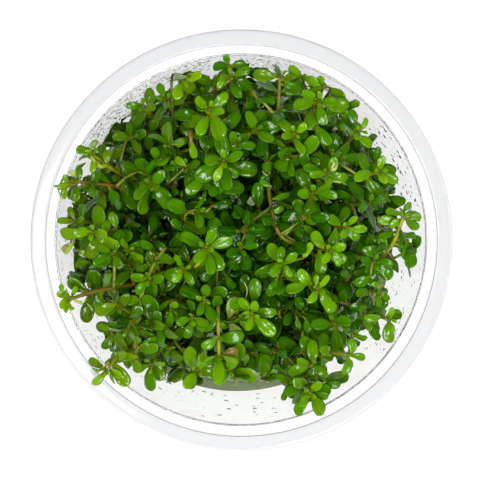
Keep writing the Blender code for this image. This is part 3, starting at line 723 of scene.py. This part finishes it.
class Growth:
    """All stems, twigs and leaves: those of the solids first, then what fills the cup between them."""

    def __init__(self):
        spread = random.Random(SEED)
        self.stems = [grow_stem(stem_stops(shoot, spread), shoot.yaw) for shoot in SHOOTS]
        self.shoots = list(zip(range(len(SHOOTS)), SHOOTS, self.stems))
        self.room = Room()
        self.leaves, self.twigs, self.strands = ([[] for _ in SHOOTS] for _ in range(3))
        self.next_owner = 2 * len(SHOOTS)
        self.chance = random.Random(SEED + 1)
        for number, _, stem in self.shoots:
            take_stem(self.room, stem, number)
        self.grow_solid_leaves()
        self.grow_buds()
        self.grow_seen_leaves()
        self.grow_seen_stems()
        self.grow_seen_twigs()
        for layer in CANOPY_LAYERS:
            self.fill_canopy(*layer)
        self.grow_lower_leaves()
        self.grow_spare_twigs()
        self.grow_roots()

    def stray(self, most):
        return self.chance.uniform(-most, most)

    def any_heading(self):
        return self.chance.uniform(0, 2 * math.pi)

    def add_leaf(self, number, stem, stem_owner, depth, side, pitch, length, tone, solid=False):
        overlap = 0.0 if solid else SCENE_OVERLAP
        leaves = leaves_to_try(stem, depth, side, pitch, length)
        leaf = first_with_room(leaves, self.room, (stem_owner,), overlap)
        if leaf:
            self.keep_leaf(number, leaf, tone, self.room.take if solid else self.room.take_closely)

    def keep_leaf(self, number, leaf, tone, take):
        take(leaf_samples(leaf), len(SHOOTS) + number)
        self.leaves[number].append((leaf, tone))

    def grow_solid_leaves(self):
        for pair in range(FULL_PAIRS):
            for number, shoot, stem in self.shoots:
                if pair >= pair_count(shoot):
                    continue
                depth = PAIR_DEPTHS[pair] + NODE_THICKNESS / 2
                length = PAIR_LENGTHS[pair] * shoot.size
                tone = shoot.tone - PAIR_SHADE * pair
                for side in opposite_sides(pair):
                    self.add_leaf(number, stem, number, depth, side, PAIR_PITCHES[pair], length, tone, True)

    def grow_bud(self, number, stem, size, tone):
        for length, pitch, first_side in BUD_LEAVES:
            for side in opposite_sides(first_side):
                leaf = aim_leaf(stem, BUD_DEPTH, side, 0, pitch, length * size)
                self.leaves[number].append((leaf, tone))

    def grow_buds(self):
        for number, shoot, stem in self.shoots:
            self.grow_bud(number, stem, shoot.size, min(1.0, shoot.tone + BUD_LIGHT))

    def grow_seen_leaves(self):
        """The single leaves, each on a short stalk from the nearest stem."""
        everything = np.concatenate([stem.points for stem in self.stems])
        for seen in SEEN_LEAVES:
            base = place_seen(*seen[:3])
            below = everything - (0, 0, STALK_DROP)
            nearest = int(np.argmin(np.linalg.norm(below - base, axis=1)))
            number = nearest // STEM_SAMPLES
            own = (number, len(SHOOTS) + number)
            leaf = first_with_room(seen_leaves_to_try(seen), self.room, own, SEEN_OVERLAP)
            if leaf:
                self.keep_leaf(number, leaf, seen.tone, self.room.take_closely)
                self.grow_stalk(number, everything[nearest], base, seen)

    def grow_stalk(self, number, root, base, seen):
        if np.linalg.norm(root - base) > STALK_LEAST:
            neck = (root + base) / 2 - (0, 0, STALK_SAG)
            stalk = grow_stem(np.array([root, neck, base]), seen.heading, STALK_SAMPLES)
            self.twigs[number].append((stalk, seen.tone))

    def grow_seen_stems(self):
        """The single pieces of stem and root, each as part of the shoot whose stem is nearest."""
        for seen in SEEN_STEMS:
            stops = np.array([place_seen(*stop) for stop in seen.points])
            number, _ = self.nearest_stem(stops[0], stops[0][2])
            strand = grow_stem(stops, 0, ROOT_SAMPLES)
            self.room.take_closely(strand.points, len(SHOOTS) + number)
            self.strands[number].append((strand, (seen.half_width, seen.half_width), seen.tone))

    def grow_roots(self):
        """Thin roots that spread down into the gel from the foot of each stem."""
        for number, stem in enumerate(self.stems):
            foot = stem.points[0]
            for _ in range(ROOTS_EACH):
                heading = self.any_heading()
                reach = self.chance.uniform(*ROOT_SPREAD)
                end = foot * ROOT_INWARD + reach * level(heading)
                end[2] -= self.chance.uniform(*ROOT_DEPTHS)
                middle = foot * (1 - ROOT_BEND_AT) + end * ROOT_BEND_AT
                middle[2] += ROOT_BEND_RISE
                root = grow_stem(np.array([end, middle, foot]), 0, ROOT_SAMPLES)
                self.strands[number].append((root, ROOT_HALF_WIDTHS, ROOT_TONE))

    def grow_twig(self, number, root, tip, yaw, size, tone):
        heading = self.any_heading()
        lean = self.chance.uniform(0, TWIG_LEAN)
        neck = tip - lean * level(heading) - (0, 0, TWIG_NECK)
        twig = grow_stem(np.array([root, neck, tip]), yaw, TWIG_SAMPLES)
        owner = self.next_owner
        self.next_owner += 1
        self.room.take_closely(twig.points, owner)
        self.twigs[number].append((twig, tone))
        for pair, (depth, length) in enumerate(zip(TWIG_DEPTHS, TWIG_LENGTHS)):
            if depth > twig.lengths[-1] - BARE_STEM:
                break
            place = depth + TWIG_NODE_DEPTH
            shaded = tone - TWIG_PAIR_SHADE * pair
            for side in opposite_sides(pair):
                self.add_leaf(number, twig, owner, place, side, PAIR_PITCHES[pair], length * size, shaded)
        self.grow_bud(number, twig, size * TWIG_BUD_SIZE, min(1.0, tone + TWIG_BUD_LIGHT))

    def nearest_stem(self, tip, height):
        """The stem that passes nearest under a twig's tip, and where it does at this height."""
        nearest = math.inf
        for candidate, stem in enumerate(self.stems):
            index = int(np.argmin(np.abs(stem.points[:, 2] - height)))
            gap = np.linalg.norm(stem.points[index][:2] - tip[:2])
            if gap < nearest:
                nearest, number, root = gap, candidate, stem.points[index].copy()
        return number, root

    def grow_seen_twigs(self):
        for seen in TWIGS:
            tip = place_seen(*seen[:3])
            number, root = self.nearest_stem(tip, seen.height - TWIG_DROP)
            self.grow_twig(number, root, tip, seen.yaw, seen.size, seen.tone)

    def scattered(self, height):
        """Places in staggered rows all over the cup, at about this height."""
        rows = int(RIM_DIAMETER / 2 / FILL_SPACING)
        for row, column in itertools.product(range(-rows, rows + 1), repeat=2):
            x = (column + 0.5 * (row % 2)) * FILL_SPACING + self.stray(FILL_STRAY)
            y = row * FILL_SPACING * FILL_ROW + self.stray(FILL_STRAY)
            yield np.array([x, y, height + self.stray(FILL_STRAY_HEIGHT)])

    def is_open(self, tip, height, most_cover, gaps):
        """True where the clump needs a twig: a free place in it, outside the gaps, that little covers."""
        if not within_reach(tip):
            return False
        if any(math.hypot(tip[0] - x, tip[1] - y) < size for x, y, size in gaps):
            return False
        if not inside_cup(tip[None, :]) or not self.room.is_free(tip[None, :]):
            return False
        return self.room.cover(tip, FILL_SPACING / 2, height - FILL_COVER_DEPTH) <= most_cover

    def fill_canopy(self, height, most_cover, tone, gaps):
        """Side twigs whose tips fill the places of one layer that are still open to the sky."""
        for tip in self.scattered(height):
            if self.is_open(tip, height, most_cover, gaps):
                number, root = self.nearest_stem(tip, height - TWIG_DROP)
                yaw = self.chance.uniform(0, 180)
                size = self.chance.uniform(*FILL_SIZES)
                # Painted light: a twig near the wall gets a brighter colour
                lit = tone + WALL_PAINTED_LIGHT * (off_axis(tip) / LIP_RADIUS) ** 3
                self.grow_twig(number, root, tip, yaw, size, lit + self.stray(FILL_STRAY_TONE))

    def grow_lower_leaves(self):
        for place, depth in enumerate(LOWER_DEPTHS):
            for number, shoot, stem in self.shoots:
                if depth > stem.lengths[-1] - BARE_STEM or stem_at(stem, depth)[0][2] < LOWEST_LEAF:
                    continue
                for side in opposite_sides(place + 1):
                    length = LOWER_LENGTH * shoot.size * self.chance.uniform(*LOWER_SIZES)
                    tone = shoot.tone * LOWER_TONE - LOWER_SHADE * place + self.stray(LOWER_STRAY_TONE)
                    self.add_leaf(number, stem, number, depth, side, LOWER_PITCH, length, tone)

    def grow_spare_twigs(self):
        for depth in SPARE_TWIG_DEPTHS:
            for number, shoot, stem in self.shoots:
                if depth <= stem.lengths[-1] - SPARE_TWIG_STEM:
                    self.grow_spare_twig(number, shoot, stem_at(stem, depth)[0])

    def grow_spare_twig(self, number, shoot, root):
        """A twig in the first of several random directions in which its whole path is free."""
        for _ in range(SPARE_TWIG_TRIES):
            heading = self.any_heading()
            reach = self.chance.uniform(*SPARE_TWIG_REACH)
            rise = self.chance.uniform(*SPARE_TWIG_RISE)
            tip = root + reach * level(heading) + (0, 0, rise)
            path = root + SPARE_TWIG_PATH * (tip - root)
            if within_reach(tip) and inside_cup(path) and self.room.is_free(path, (number,)):
                yaw = math.degrees(heading) + SPARE_TWIG_TURN
                self.grow_twig(number, root, tip, yaw, SPARE_TWIG_SIZE, shoot.tone * SPARE_TWIG_TONE)
                break


def new_object(name, data):
    thing = bpy.data.objects.new(name, data)
    bpy.context.scene.collection.objects.link(thing)
    return thing


def new_mesh(name, points, faces, materials):
    """A smooth mesh from points in millimetres."""
    data = bpy.data.meshes.new(name)
    data.from_pydata(points * MM, [], faces)
    data.update()
    for material in materials:
        data.materials.append(material)
    data.shade_smooth()
    return data


def add_piece(name, data, replaced):
    piece = new_object(name, data)
    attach(piece, "root")
    if replaced:
        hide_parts(replaced)
    return piece


LEAF_SLOT, STEM_SLOT = 0, 1
# What the materials read at each point of the leaves and stems
MARKS = ("tone", "warmth", "across", "along", "under")


def ring_faces(stations, sides, start=0):
    """The faces between rings of points, which are numbered ring by ring from the start."""
    faces = []
    for station, side in itertools.product(range(stations - 1), range(sides)):
        low = start + station * sides
        after = (side + 1) % sides
        faces.append((low + side, low + after, low + sides + after, low + sides + side))
    return faces


class Draft:
    """The vertices and faces of one piece, in millimetres, and what its materials read at each vertex."""

    def __init__(self):
        self.points, self.faces, self.slots, self.marks = [], [], [], []
        self.count = 0

    def add_rings(self, rings, slot, marks):
        """A closed body through rings of points, with the values of all marks at each point."""
        stations, sides = rings.shape[:2]
        start = self.count
        self.faces += ring_faces(stations, sides, start)
        self.faces.append(tuple(range(start + sides - 1, start - 1, -1)))
        last = start + (stations - 1) * sides
        self.faces.append(tuple(range(last, last + sides)))
        self.slots += [slot] * ((stations - 1) * sides + 2)
        self.points.append(rings.reshape(-1, 3))
        self.marks.append(np.broadcast_to(marks, (stations, sides, len(MARKS))).reshape(-1, len(MARKS)))
        self.count += stations * sides

    def make(self, name, materials, replaced, record_slot):
        data = new_mesh(name, np.concatenate(self.points), self.faces, materials)
        data.polygons.foreach_set("material_index", self.slots)
        marks = np.concatenate(self.marks)
        for column, mark in enumerate(MARKS):
            layer = data.attributes.new(mark, "FLOAT", "POINT")
            layer.data.foreach_set("value", marks[:, column].astype(np.float32))
        return add_piece(name, data, replaced)


def around_once(count):
    """The angles of evenly spaced points round a ring."""
    return 2 * math.pi * np.arange(count) / count


def rolled(leaf, angle):
    """The leaf turned about its own midrib."""
    across = leaf.across * math.cos(angle) + leaf.up * math.sin(angle)
    return leaf._replace(across=across, up=np.cross(leaf.along, across))


def draw_leaf(draft, leaf, tone, warmth, form):
    """A leaf with two crowned halves beside a sunken midrib, thin at its margin, with its tip bent down."""
    share = STATIONS[:, None]
    width = STATION_WIDTHS[:, None]
    side = np.concatenate([TOP_SIDES, UNDER_SIDES])[None, :]
    under = np.concatenate([np.zeros(len(TOP_SIDES)), np.ones(len(UNDER_SIDES))])[None, :]
    off_rib = np.abs(side)
    half = leaf.half_width * form.breadth
    leaf = rolled(leaf, form.roll)
    lift = half * width * (form.crown * 4 * off_rib * (1 - off_rib) + form.fold * off_rib)
    ripple = np.sin(RIPPLES * share + RIPPLE_SHIFT * form.roll + RIPPLE_SLANT * side)
    lift = lift + half * width * form.wave * off_rib * ripple
    lift = lift + leaf.length * (form.arch * np.sin(math.pi * np.clip(share, 0, 1)) - form.curl * share**3)
    thickness = BLADE_THICKNESS * (1 - MARGIN_THINNING * off_rib**2)
    lift = lift - under * thickness * (NARROW_THICKNESS + (1 - NARROW_THICKNESS) * width)
    sideways = half * width * side + form.bend * leaf.length * share**2
    turn = form.twist * share
    sideways, lift = (
        sideways * np.cos(turn) - lift * np.sin(turn),
        sideways * np.sin(turn) + lift * np.cos(turn),
    )
    shares = np.broadcast_to(share, lift.shape)
    rings = leaf_points(leaf, shares, sideways, lift)
    values = (tone, warmth, side, share, under)
    marks = np.stack([np.broadcast_to(value, lift.shape) for value in values], axis=-1)
    draft.add_rings(rings, LEAF_SLOT, marks)


def draw_stem(draft, stem, half_widths, node_depths, tone):
    """A square stem with rounded corners that swells at its nodes."""
    total = stem.lengths[-1]
    depths = np.linspace(0.0, total, max(STEM_LEAST_RINGS, round(total / STEM_RING_SPACING)))
    turns = around_once(STEM_CORNERS)
    cosines, sines = np.cos(turns), np.sin(turns)
    shape = (np.abs(cosines) ** STEM_SQUARENESS + np.abs(sines) ** STEM_SQUARENESS) ** (-1 / STEM_SQUARENESS)
    rings, tones = [], []
    for depth in depths:
        place, _, first_side, second_side = stem_at(stem, depth)
        swell = sum(math.exp(-(((depth - node) / SWELL_LENGTH) ** 2)) for node in node_depths)
        radius = half_width_at(stem, depth, half_widths) * (1 + SWELL * swell) * shape
        ring = place + np.outer(radius * cosines, first_side) + np.outer(radius * sines, second_side)
        rings.append(ring[::-1])
        tones.append(tone + min(SWELL_TONE * swell, max(0.0, 1.0 - tone)))
    marks = np.zeros((len(depths), STEM_CORNERS, len(MARKS)))
    marks[:, :, MARKS.index("tone")] = np.array(tones)[:, None]
    marks[:, :, MARKS.index("along")] = (depths / total)[:, None]
    draft.add_rings(np.array(rings), STEM_SLOT, marks)


def leaf_form(chance, tone):
    form = Form(*(chance.uniform(*span) for span in FORM_RANGES))
    return form._replace(fold=form.fold + YOUNG_FOLD * min(max(tone, 0.0), 1.0))


def leaf_slot(tone):
    """The record's slot for a shoot that is this bright."""
    if tone > YOUNG_TONE:
        return "young_leaf"
    return "grown_leaf" if tone > GROWN_TONE else "deep_leaf"


def make_shoots(growth, leaf_look, stem_look):
    chance = random.Random(SEED + 2)
    for number, shoot, stem in growth.shoots:
        name = f"shoot_{number + 1:02d}"
        draft = Draft()
        nodes = [depth for depth in (*PAIR_DEPTHS, *LOWER_DEPTHS) if depth < stem.lengths[-1]]
        stem_tone = STEM_TONES.get(number + 1, chance.uniform(*STEM_TONE_RANGE))
        draw_stem(draft, stem, STEM_HALF_WIDTHS, nodes, stem_tone)
        for twig, _ in growth.twigs[number]:
            draw_stem(draft, twig, TWIG_HALF_WIDTHS, TWIG_DEPTHS, chance.uniform(*TWIG_TONE_RANGE))
        for strand, half_widths, tone in growth.strands[number]:
            draw_stem(draft, strand, half_widths, (), tone)
        for leaf, tone in growth.leaves[number]:
            # Painted shade: a leaf near a dark gap gets a darker colour
            tone = tone * (1 - painted_shade_at(leaf.base)) + chance.uniform(-STRAY_TONE, STRAY_TONE)
            warmth = chance.uniform(0.0, warmest_at(leaf.base))
            draw_leaf(draft, leaf, tone, warmth, leaf_form(chance, tone))
        draft.make(name + "_grown", (leaf_look, stem_look), name, leaf_slot(shoot.tone))


def rounded(profile, radius):
    """The profile with each inner corner replaced by a short arc."""
    corners = np.array(profile, float)
    path = [corners[0]]
    for before, corner, after in zip(corners, corners[1:], corners[2:]):
        back, ahead = before - corner, after - corner
        cut = min(radius, np.linalg.norm(back) * MOST_CUT, np.linalg.norm(ahead) * MOST_CUT)
        start = corner + unit(back) * cut
        end = corner + unit(ahead) * cut
        for t in np.linspace(0, 1, CORNER_POINTS):
            path.append((1 - t) ** 2 * start + 2 * t * (1 - t) * corner + t**2 * end)
    path.append(corners[-1])
    return np.array(path)


def turned(name, profile, sides, materials, rim_height, replaced):
    """A solid of revolution that stands for a CAD node. The profile runs from the axis, round, to the axis.

    What lies above the rim height has the second material.
    """
    turns = around_once(sides)
    rings = [
        np.stack([radius * np.cos(turns), radius * np.sin(turns), np.full(sides, height)], axis=1)
        for radius, height in profile[1:-1]
    ]
    low, high = len(rings) * sides, len(rings) * sides + 1
    points = np.concatenate([*rings, [(0, 0, profile[0][1]), (0, 0, profile[-1][1])]])
    faces = ring_faces(len(rings), sides)
    for step in range(sides):
        after = (step + 1) % sides
        faces.append((low, after, step))
        faces.append((high, low - sides + step, low - sides + after))
    data = new_mesh(name, points, faces, materials)
    for face in data.polygons:
        face.material_index = int(face.center.z > rim_height * MM)
    return add_piece(name, data, replaced)


def cup_profile():
    """Radii and heights of the cup's surface: out from the middle under the foot, over the rim and back."""
    wall = DRAWN_WALL
    rim_radius = RIM_DIAMETER / 2
    outer_lip = LIP_RADIUS + wall
    outer_collar = COLLAR_RADIUS + wall
    return (
        (0, FOOT_RECESS),
        (FOOT_RADII[0] - wall, FOOT_RECESS),
        (FOOT_RADII[0], 0),
        (FOOT_RADII[1], 0),
        (INNER_FLOOR_RADIUS + wall, FOOT_RECESS),
        (outer_lip, LIP_HEIGHT - wall),
        (outer_collar, LIP_HEIGHT - wall / 2),
        (outer_collar, RIM_TOP - 2 * wall),
        (rim_radius - wall, RIM_TOP - 2 * wall),
        (rim_radius - wall, RIM_TOP - FLANGE_DROP),
        (rim_radius, RIM_TOP - FLANGE_DROP),
        (rim_radius, RIM_TOP - wall),
        (rim_radius - wall, RIM_TOP - wall / 4),
        (COLLAR_RADIUS + wall / 2, RIM_TOP),
        (COLLAR_RADIUS, RIM_TOP - wall / 2),
        (COLLAR_RADIUS, LIP_HEIGHT + wall),
        (LIP_RADIUS + wall, LIP_HEIGHT + wall / 3),
        (LIP_RADIUS, LIP_HEIGHT),
        (LIP_RADIUS - LIP_STEP, LIP_HEIGHT - wall),
        (INNER_FLOOR_RADIUS, FLOOR_TOP + wall),
        (INNER_FLOOR_RADIUS - wall, FLOOR_TOP),
        (0, FLOOR_TOP),
    )


def gel_profile():
    bottom = FLOOR_TOP + GEL_GAP
    top_radius = float(inner_radius(np.array(GEL_TOP))) - GEL_GAP
    return (
        (0, bottom),
        (INNER_FLOOR_RADIUS - WALL - GEL_GAP, bottom),
        (top_radius, GEL_TOP),
        (top_radius - GEL_CLIMB[0], GEL_TOP - GEL_CLIMB[1]),
        (0, GEL_TOP),
    )


def make_drops(water):
    """Drops of condensation on the inside of the wall, as low domes."""
    chance = random.Random(SEED + 3)
    draft = Draft()
    turns = around_once(DROP_SIDES)
    for patch in DROP_PATCHES:
        for _ in range(patch.count):
            out = level(math.radians(chance.uniform(*patch.headings)))
            height = chance.uniform(*patch.heights)
            radius = chance.uniform(*patch.radii) * chance.uniform(*DROP_SIZES)
            around = np.array([-out[1], out[0], 0.0])
            foot = out * (float(inner_radius(np.array(height))) - DROP_GAP)
            foot[2] = height
            rings = []
            for share, rise in DROP_RINGS:
                ring = foot - out * rise * radius
                ring = ring + np.outer(share * radius * np.cos(turns), around)
                rings.append(ring + np.outer(share * radius * np.sin(turns), (0, 0, DROP_TALLNESS)))
            draft.add_rings(np.array(rings), 0, 0.0)
    draft.make("wall_drops", (water,), None, "clear_plastic")


# Materials

# How much the noise varies the tone of a leaf or stem
TONE_NOISE = 0.3


def new_material(name, settings):
    """A node material whose shader has these settings. A colour is given without its alpha."""
    material = bpy.data.materials.new(name)
    material.use_nodes = True
    tree = material.node_tree
    shader = tree.nodes["Principled BSDF"]
    for setting, value in settings.items():
        shader.inputs[setting].default_value = (*value, 1.0) if isinstance(value, tuple) else value
    return material, tree, shader


def attribute(tree, name):
    node = tree.nodes.new("ShaderNodeAttribute")
    node.attribute_name = name
    return node.outputs["Fac"]


def arithmetic(tree, operation, *values):
    node = tree.nodes.new("ShaderNodeMath")
    node.operation = operation
    for socket, value in zip(node.inputs, values):
        if isinstance(value, (int, float)):
            socket.default_value = value
        else:
            tree.links.new(value, socket)
    return node.outputs["Value"]


def scaled(tree, value, factor):
    return arithmetic(tree, "MULTIPLY", value, factor)


def noise(tree, scale, detail=2.0):
    """Grey noise about 1 / scale metres across, as a value from 0 to 1."""
    place = tree.nodes.new("ShaderNodeTexCoord")
    node = tree.nodes.new("ShaderNodeTexNoise")
    node.inputs["Scale"].default_value = scale
    node.inputs["Detail"].default_value = detail
    tree.links.new(place.outputs["Object"], node.inputs["Vector"])
    return node.outputs["Fac"]


def eased(tree, value, low, high):
    """0 where the value is at low, 1 where it is at high, and smooth between them."""
    node = tree.nodes.new("ShaderNodeMapRange")
    node.interpolation_type = "SMOOTHSTEP"
    node.inputs["From Min"].default_value = low
    node.inputs["From Max"].default_value = high
    tree.links.new(value, node.inputs["Value"])
    return node.outputs["Result"]


def colour_ramp(tree, value, stops):
    node = tree.nodes.new("ShaderNodeValToRGB")
    ramp = node.color_ramp
    while len(ramp.elements) < len(stops):
        ramp.elements.new(0.5)
    for element, (position, colour) in zip(ramp.elements, stops):
        element.position = position
        element.color = (*colour, 1.0)
    tree.links.new(value, node.inputs["Fac"])
    return node.outputs["Color"]


def blended(tree, share, first, second):
    """The first colour where the share is 0 and the second where it is 1."""
    node = tree.nodes.new("ShaderNodeMix")
    node.data_type = "RGBA"
    tree.links.new(share, node.inputs[0])
    for socket, value in ((node.inputs[6], first), (node.inputs[7], second)):
        if isinstance(value, tuple):
            socket.default_value = (*value, 1.0)
        else:
            tree.links.new(value, socket)
    return node.outputs[2]


def bump(tree, shader, height, distance):
    node = tree.nodes.new("ShaderNodeBump")
    node.inputs["Distance"].default_value = distance
    node.inputs["Strength"].default_value = 0.6
    tree.links.new(height, node.inputs["Height"])
    tree.links.new(node.outputs["Normal"], shader.inputs["Normal"])


def vary_gloss(tree, shader, scale, least, spread):
    """Makes the roughness vary with noise, from the least up by the spread."""
    roughness = arithmetic(tree, "MULTIPLY_ADD", noise(tree, scale), spread, least)
    tree.links.new(roughness, shader.inputs["Roughness"])


def half_tone(tree, scale):
    """Half the tone of a leaf or stem, varied by noise: a ramp reads 0 to 1, and tones go on to 2."""
    varied = arithmetic(tree, "MULTIPLY_ADD", noise(tree, scale), TONE_NOISE, attribute(tree, "tone"))
    return scaled(tree, arithmetic(tree, "SUBTRACT", varied, TONE_NOISE / 2), 0.5)


def leaf_colour(tree):
    """Green by tone, olive by warmth: a pale midrib, a warm stalk, a dark margin and a paler underside."""
    tone = half_tone(tree, 420)
    green = colour_ramp(tree, tone, (
        (0.0, (0.006, 0.046, 0.0003)),
        (0.18, (0.021, 0.102, 0.0003)),
        (0.34, (0.048, 0.158, 0.0004)),
        (0.50, (0.091, 0.237, 0.0006)),
        (0.58, (0.128, 0.275, 0.003)),
        (0.70, (0.360, 0.400, 0.130)),
        (1.0, (0.130, 0.095, 0.018)),
    ))
    olive = blended(tree, scaled(tree, tone, 2.0), (0.045, 0.060, 0.001), (0.19, 0.22, 0.001))
    colour = blended(tree, scaled(tree, attribute(tree, "warmth"), 0.6), green, olive)
    off_rib = arithmetic(tree, "ABSOLUTE", attribute(tree, "across"))
    along = attribute(tree, "along")
    # Where on the leaf each tint starts and is full, how strong it is, and its colour
    tints = (
        (off_rib, 0.14, 0.02, 0.22, (0.14, 0.26, 0.001)),
        (along, 0.22, 0.0, 0.75, (0.22, 0.19, 0.002)),
        (off_rib, 0.84, 1.0, 0.45, (0.030, 0.075, 0.001)),
    )
    for value, start, full, strength, tint in tints:
        colour = blended(tree, scaled(tree, eased(tree, value, start, full), strength), colour, tint)
    return blended(tree, scaled(tree, attribute(tree, "under"), 0.3), colour, (0.10, 0.20, 0.002))


def leaf_relief(tree):
    """Side veins that slant out from the midrib, over fine noise."""
    off_rib = arithmetic(tree, "ABSOLUTE", attribute(tree, "across"))
    slant = scaled(tree, off_rib, -2.0)
    veins = arithmetic(tree, "MULTIPLY_ADD", attribute(tree, "along"), 9.0, slant)
    veins = arithmetic(tree, "SINE", scaled(tree, veins, 2 * math.pi))
    return arithmetic(tree, "MULTIPLY_ADD", veins, 0.12, noise(tree, 700, 1.0))


def leaf_material():
    material, tree, shader = new_material("glossy_leaf", {"Specular IOR Level": 0.28})
    tree.links.new(leaf_colour(tree), shader.inputs["Base Color"])
    vary_gloss(tree, shader, 900, 0.05, 0.12)
    bump(tree, shader, leaf_relief(tree), 0.00007)
    return material


def stem_material():
    material, tree, shader = new_material("square_stem", {"Roughness": 0.35})
    colour = colour_ramp(tree, half_tone(tree, 500), (
        (0.0, (0.32, 0.32, 0.012)),
        (0.12, (0.15, 0.19, 0.004)),
        (0.28, (0.10, 0.10, 0.003)),
        (0.50, (0.16, 0.075, 0.003)),
        (0.60, (0.16, 0.075, 0.003)),
        (1.0, (0.55, 0.58, 0.36)),
    ))
    tree.links.new(colour, shader.inputs["Base Color"])
    bump(tree, shader, noise(tree, 1800), 0.00005)
    return material


def clear_plastic_material():
    material, tree, shader = new_material("clear_plastic", {
        "Base Color": (0.98, 0.985, 0.98),
        "Transmission Weight": 0.98,
        "IOR": 1.2,
        "Sheen Weight": 0.45,
        "Sheen Roughness": 0.18,
    })
    vary_gloss(tree, shader, 60, 0.02, 0.04)
    bump(tree, shader, noise(tree, 90), 0.00003)
    return material


def rim_plastic_material():
    """The plastic of the flat flange, which looks a little milky."""
    material, tree, shader = new_material("rim_plastic", {
        "Base Color": (0.57, 0.575, 0.585),
        "Transmission Weight": 0.4,
        "IOR": 1.3,
    })
    vary_gloss(tree, shader, 60, 0.05, 0.06)
    return material


def water_material():
    material, tree, shader = new_material("water_drop", {
        "Base Color": (0.96, 0.98, 0.97),
        "Transmission Weight": 1.0,
        "IOR": 1.33,
        "Roughness": 0.02,
    })
    bump(tree, shader, noise(tree, 900), 0.00001)
    return material


def gel_material():
    material, tree, shader = new_material("set_gel", {
        "Transmission Weight": 0.85,
        "IOR": 1.34,
        "Roughness": 0.15,
    })
    # Painted shade: the gel's colour is made dark to stand for the shade that the plants cast on it; the
    # noise varies it as the gel's own cloudiness does
    cloud_and_painted_shade = ((0.3, (0.20, 0.26, 0.13)), (0.7, (0.29, 0.35, 0.19)))
    tree.links.new(colour_ramp(tree, noise(tree, 120), cloud_and_painted_shade), shader.inputs["Base Color"])
    bump(tree, shader, noise(tree, 200), 0.00006)
    return material


# Stage, light and camera

FLOOR_REACH = 3000.0
SENSOR_WIDTH = 36.0
LAMP_TARGET = (0.0, 0.0, 0.05)
# How much darker the room is in reflections
MIRRORED_DARKENING = 0.98


def make_floor():
    """A pale table, lit from within as a light table is."""
    material, _, _ = new_material("pale_floor", {
        "Base Color": (0.14, 0.14, 0.14),
        "Roughness": 0.9,
        "Specular IOR Level": 0.1,
        "Emission Color": (1.0, 1.0, 1.0),
        "Emission Strength": 1.05,
    })
    corners = FLOOR_REACH * np.array([(-1, -1, 0), (1, -1, 0), (1, 1, 0), (-1, 1, 0)])
    floor = new_object("floor", new_mesh("floor", corners, [(0, 1, 2, 3)], (material,)))


def aim(thing, place, target):
    """Puts the camera or lamp at a place and points it at a target, with +Y at the top of its view."""
    back = (Vector(place) - Vector(target)).normalized()
    right = Vector((0, 1, 0)).cross(back).normalized()
    turn = Matrix((right, back.cross(right), back)).transposed()
    thing.matrix_world = Matrix.Translation(place) @ turn.to_4x4()


def area_light(name, place, size, power):
    data = bpy.data.lights.new(name, "AREA")
    data.shape = "RECTANGLE"
    data.size, data.size_y = size
    data.energy = power
    aim(new_object(name, data), place, LAMP_TARGET)


def light_scene():
    """A white room that is nearly dark where something mirrors it, and two lamps that make the highlights."""
    world = bpy.data.worlds.new("soft_room")
    world.use_nodes = True
    tree = world.node_tree
    background = tree.nodes["Background"]
    background.inputs["Color"].default_value = (1.0, 1.0, 1.0, 1.0)
    rays = tree.nodes.new("ShaderNodeLightPath").outputs
    mirrored = arithmetic(tree, "MINIMUM", rays["Glossy Depth"], 1.0)
    strength = arithmetic(tree, "MULTIPLY_ADD", mirrored, -MIRRORED_DARKENING, 1.0)
    tree.links.new(strength, background.inputs["Strength"])
    bpy.context.scene.world = world
    area_light("soft_front", (0.28, -0.60, 0.95), (0.40, 0.40), 9.0)
    area_light("soft_top", (-0.25, -0.10, 1.05), (0.30, 0.30), 6.0)


def place_camera():
    """The camera stands a little off the cup's axis, as the photograph's does, and looks down on the rim."""
    data = bpy.data.cameras.new("camera")
    data.sensor_width = SENSOR_WIDTH
    data.lens = SENSOR_WIDTH * VIEW_DISTANCE / (FRAME_PX * MM_PER_PX)
    camera = new_object("camera", data)
    middle = FRAME_PX / 2
    target = np.array([
        (middle - RIM_CENTRE_PX[0]) * MM_PER_PX,
        (RIM_CENTRE_PX[1] - middle) * MM_PER_PX,
        RIM_TOP,
    ])
    place = (-VIEW_SLANT[0] * VIEW_DISTANCE, -VIEW_SLANT[1] * VIEW_DISTANCE, RIM_TOP + VIEW_DISTANCE)
    aim(camera, np.array(place) * MM, target * MM)
    bpy.context.scene.camera = camera
    bpy.context.scene.view_settings.view_transform = "Standard"


def main():
    leaf_look, stem_look = leaf_material(), stem_material()
    make_shoots(Growth(), leaf_look, stem_look)
    plastics = (clear_plastic_material(), rim_plastic_material())
    cup = rounded(cup_profile(), CUP_CORNER)
    turned("cup_clear", cup, CUP_SIDES, plastics, RIM_STARTS, "cup")
    gel = rounded(gel_profile(), GEL_CORNER)
    turned("culture_gel_set", gel, GEL_SIDES, (gel_material(),), RIM_TOP, "culture_gel")
    make_drops(water_material())
    make_floor()
    light_scene()
    place_camera()


main()
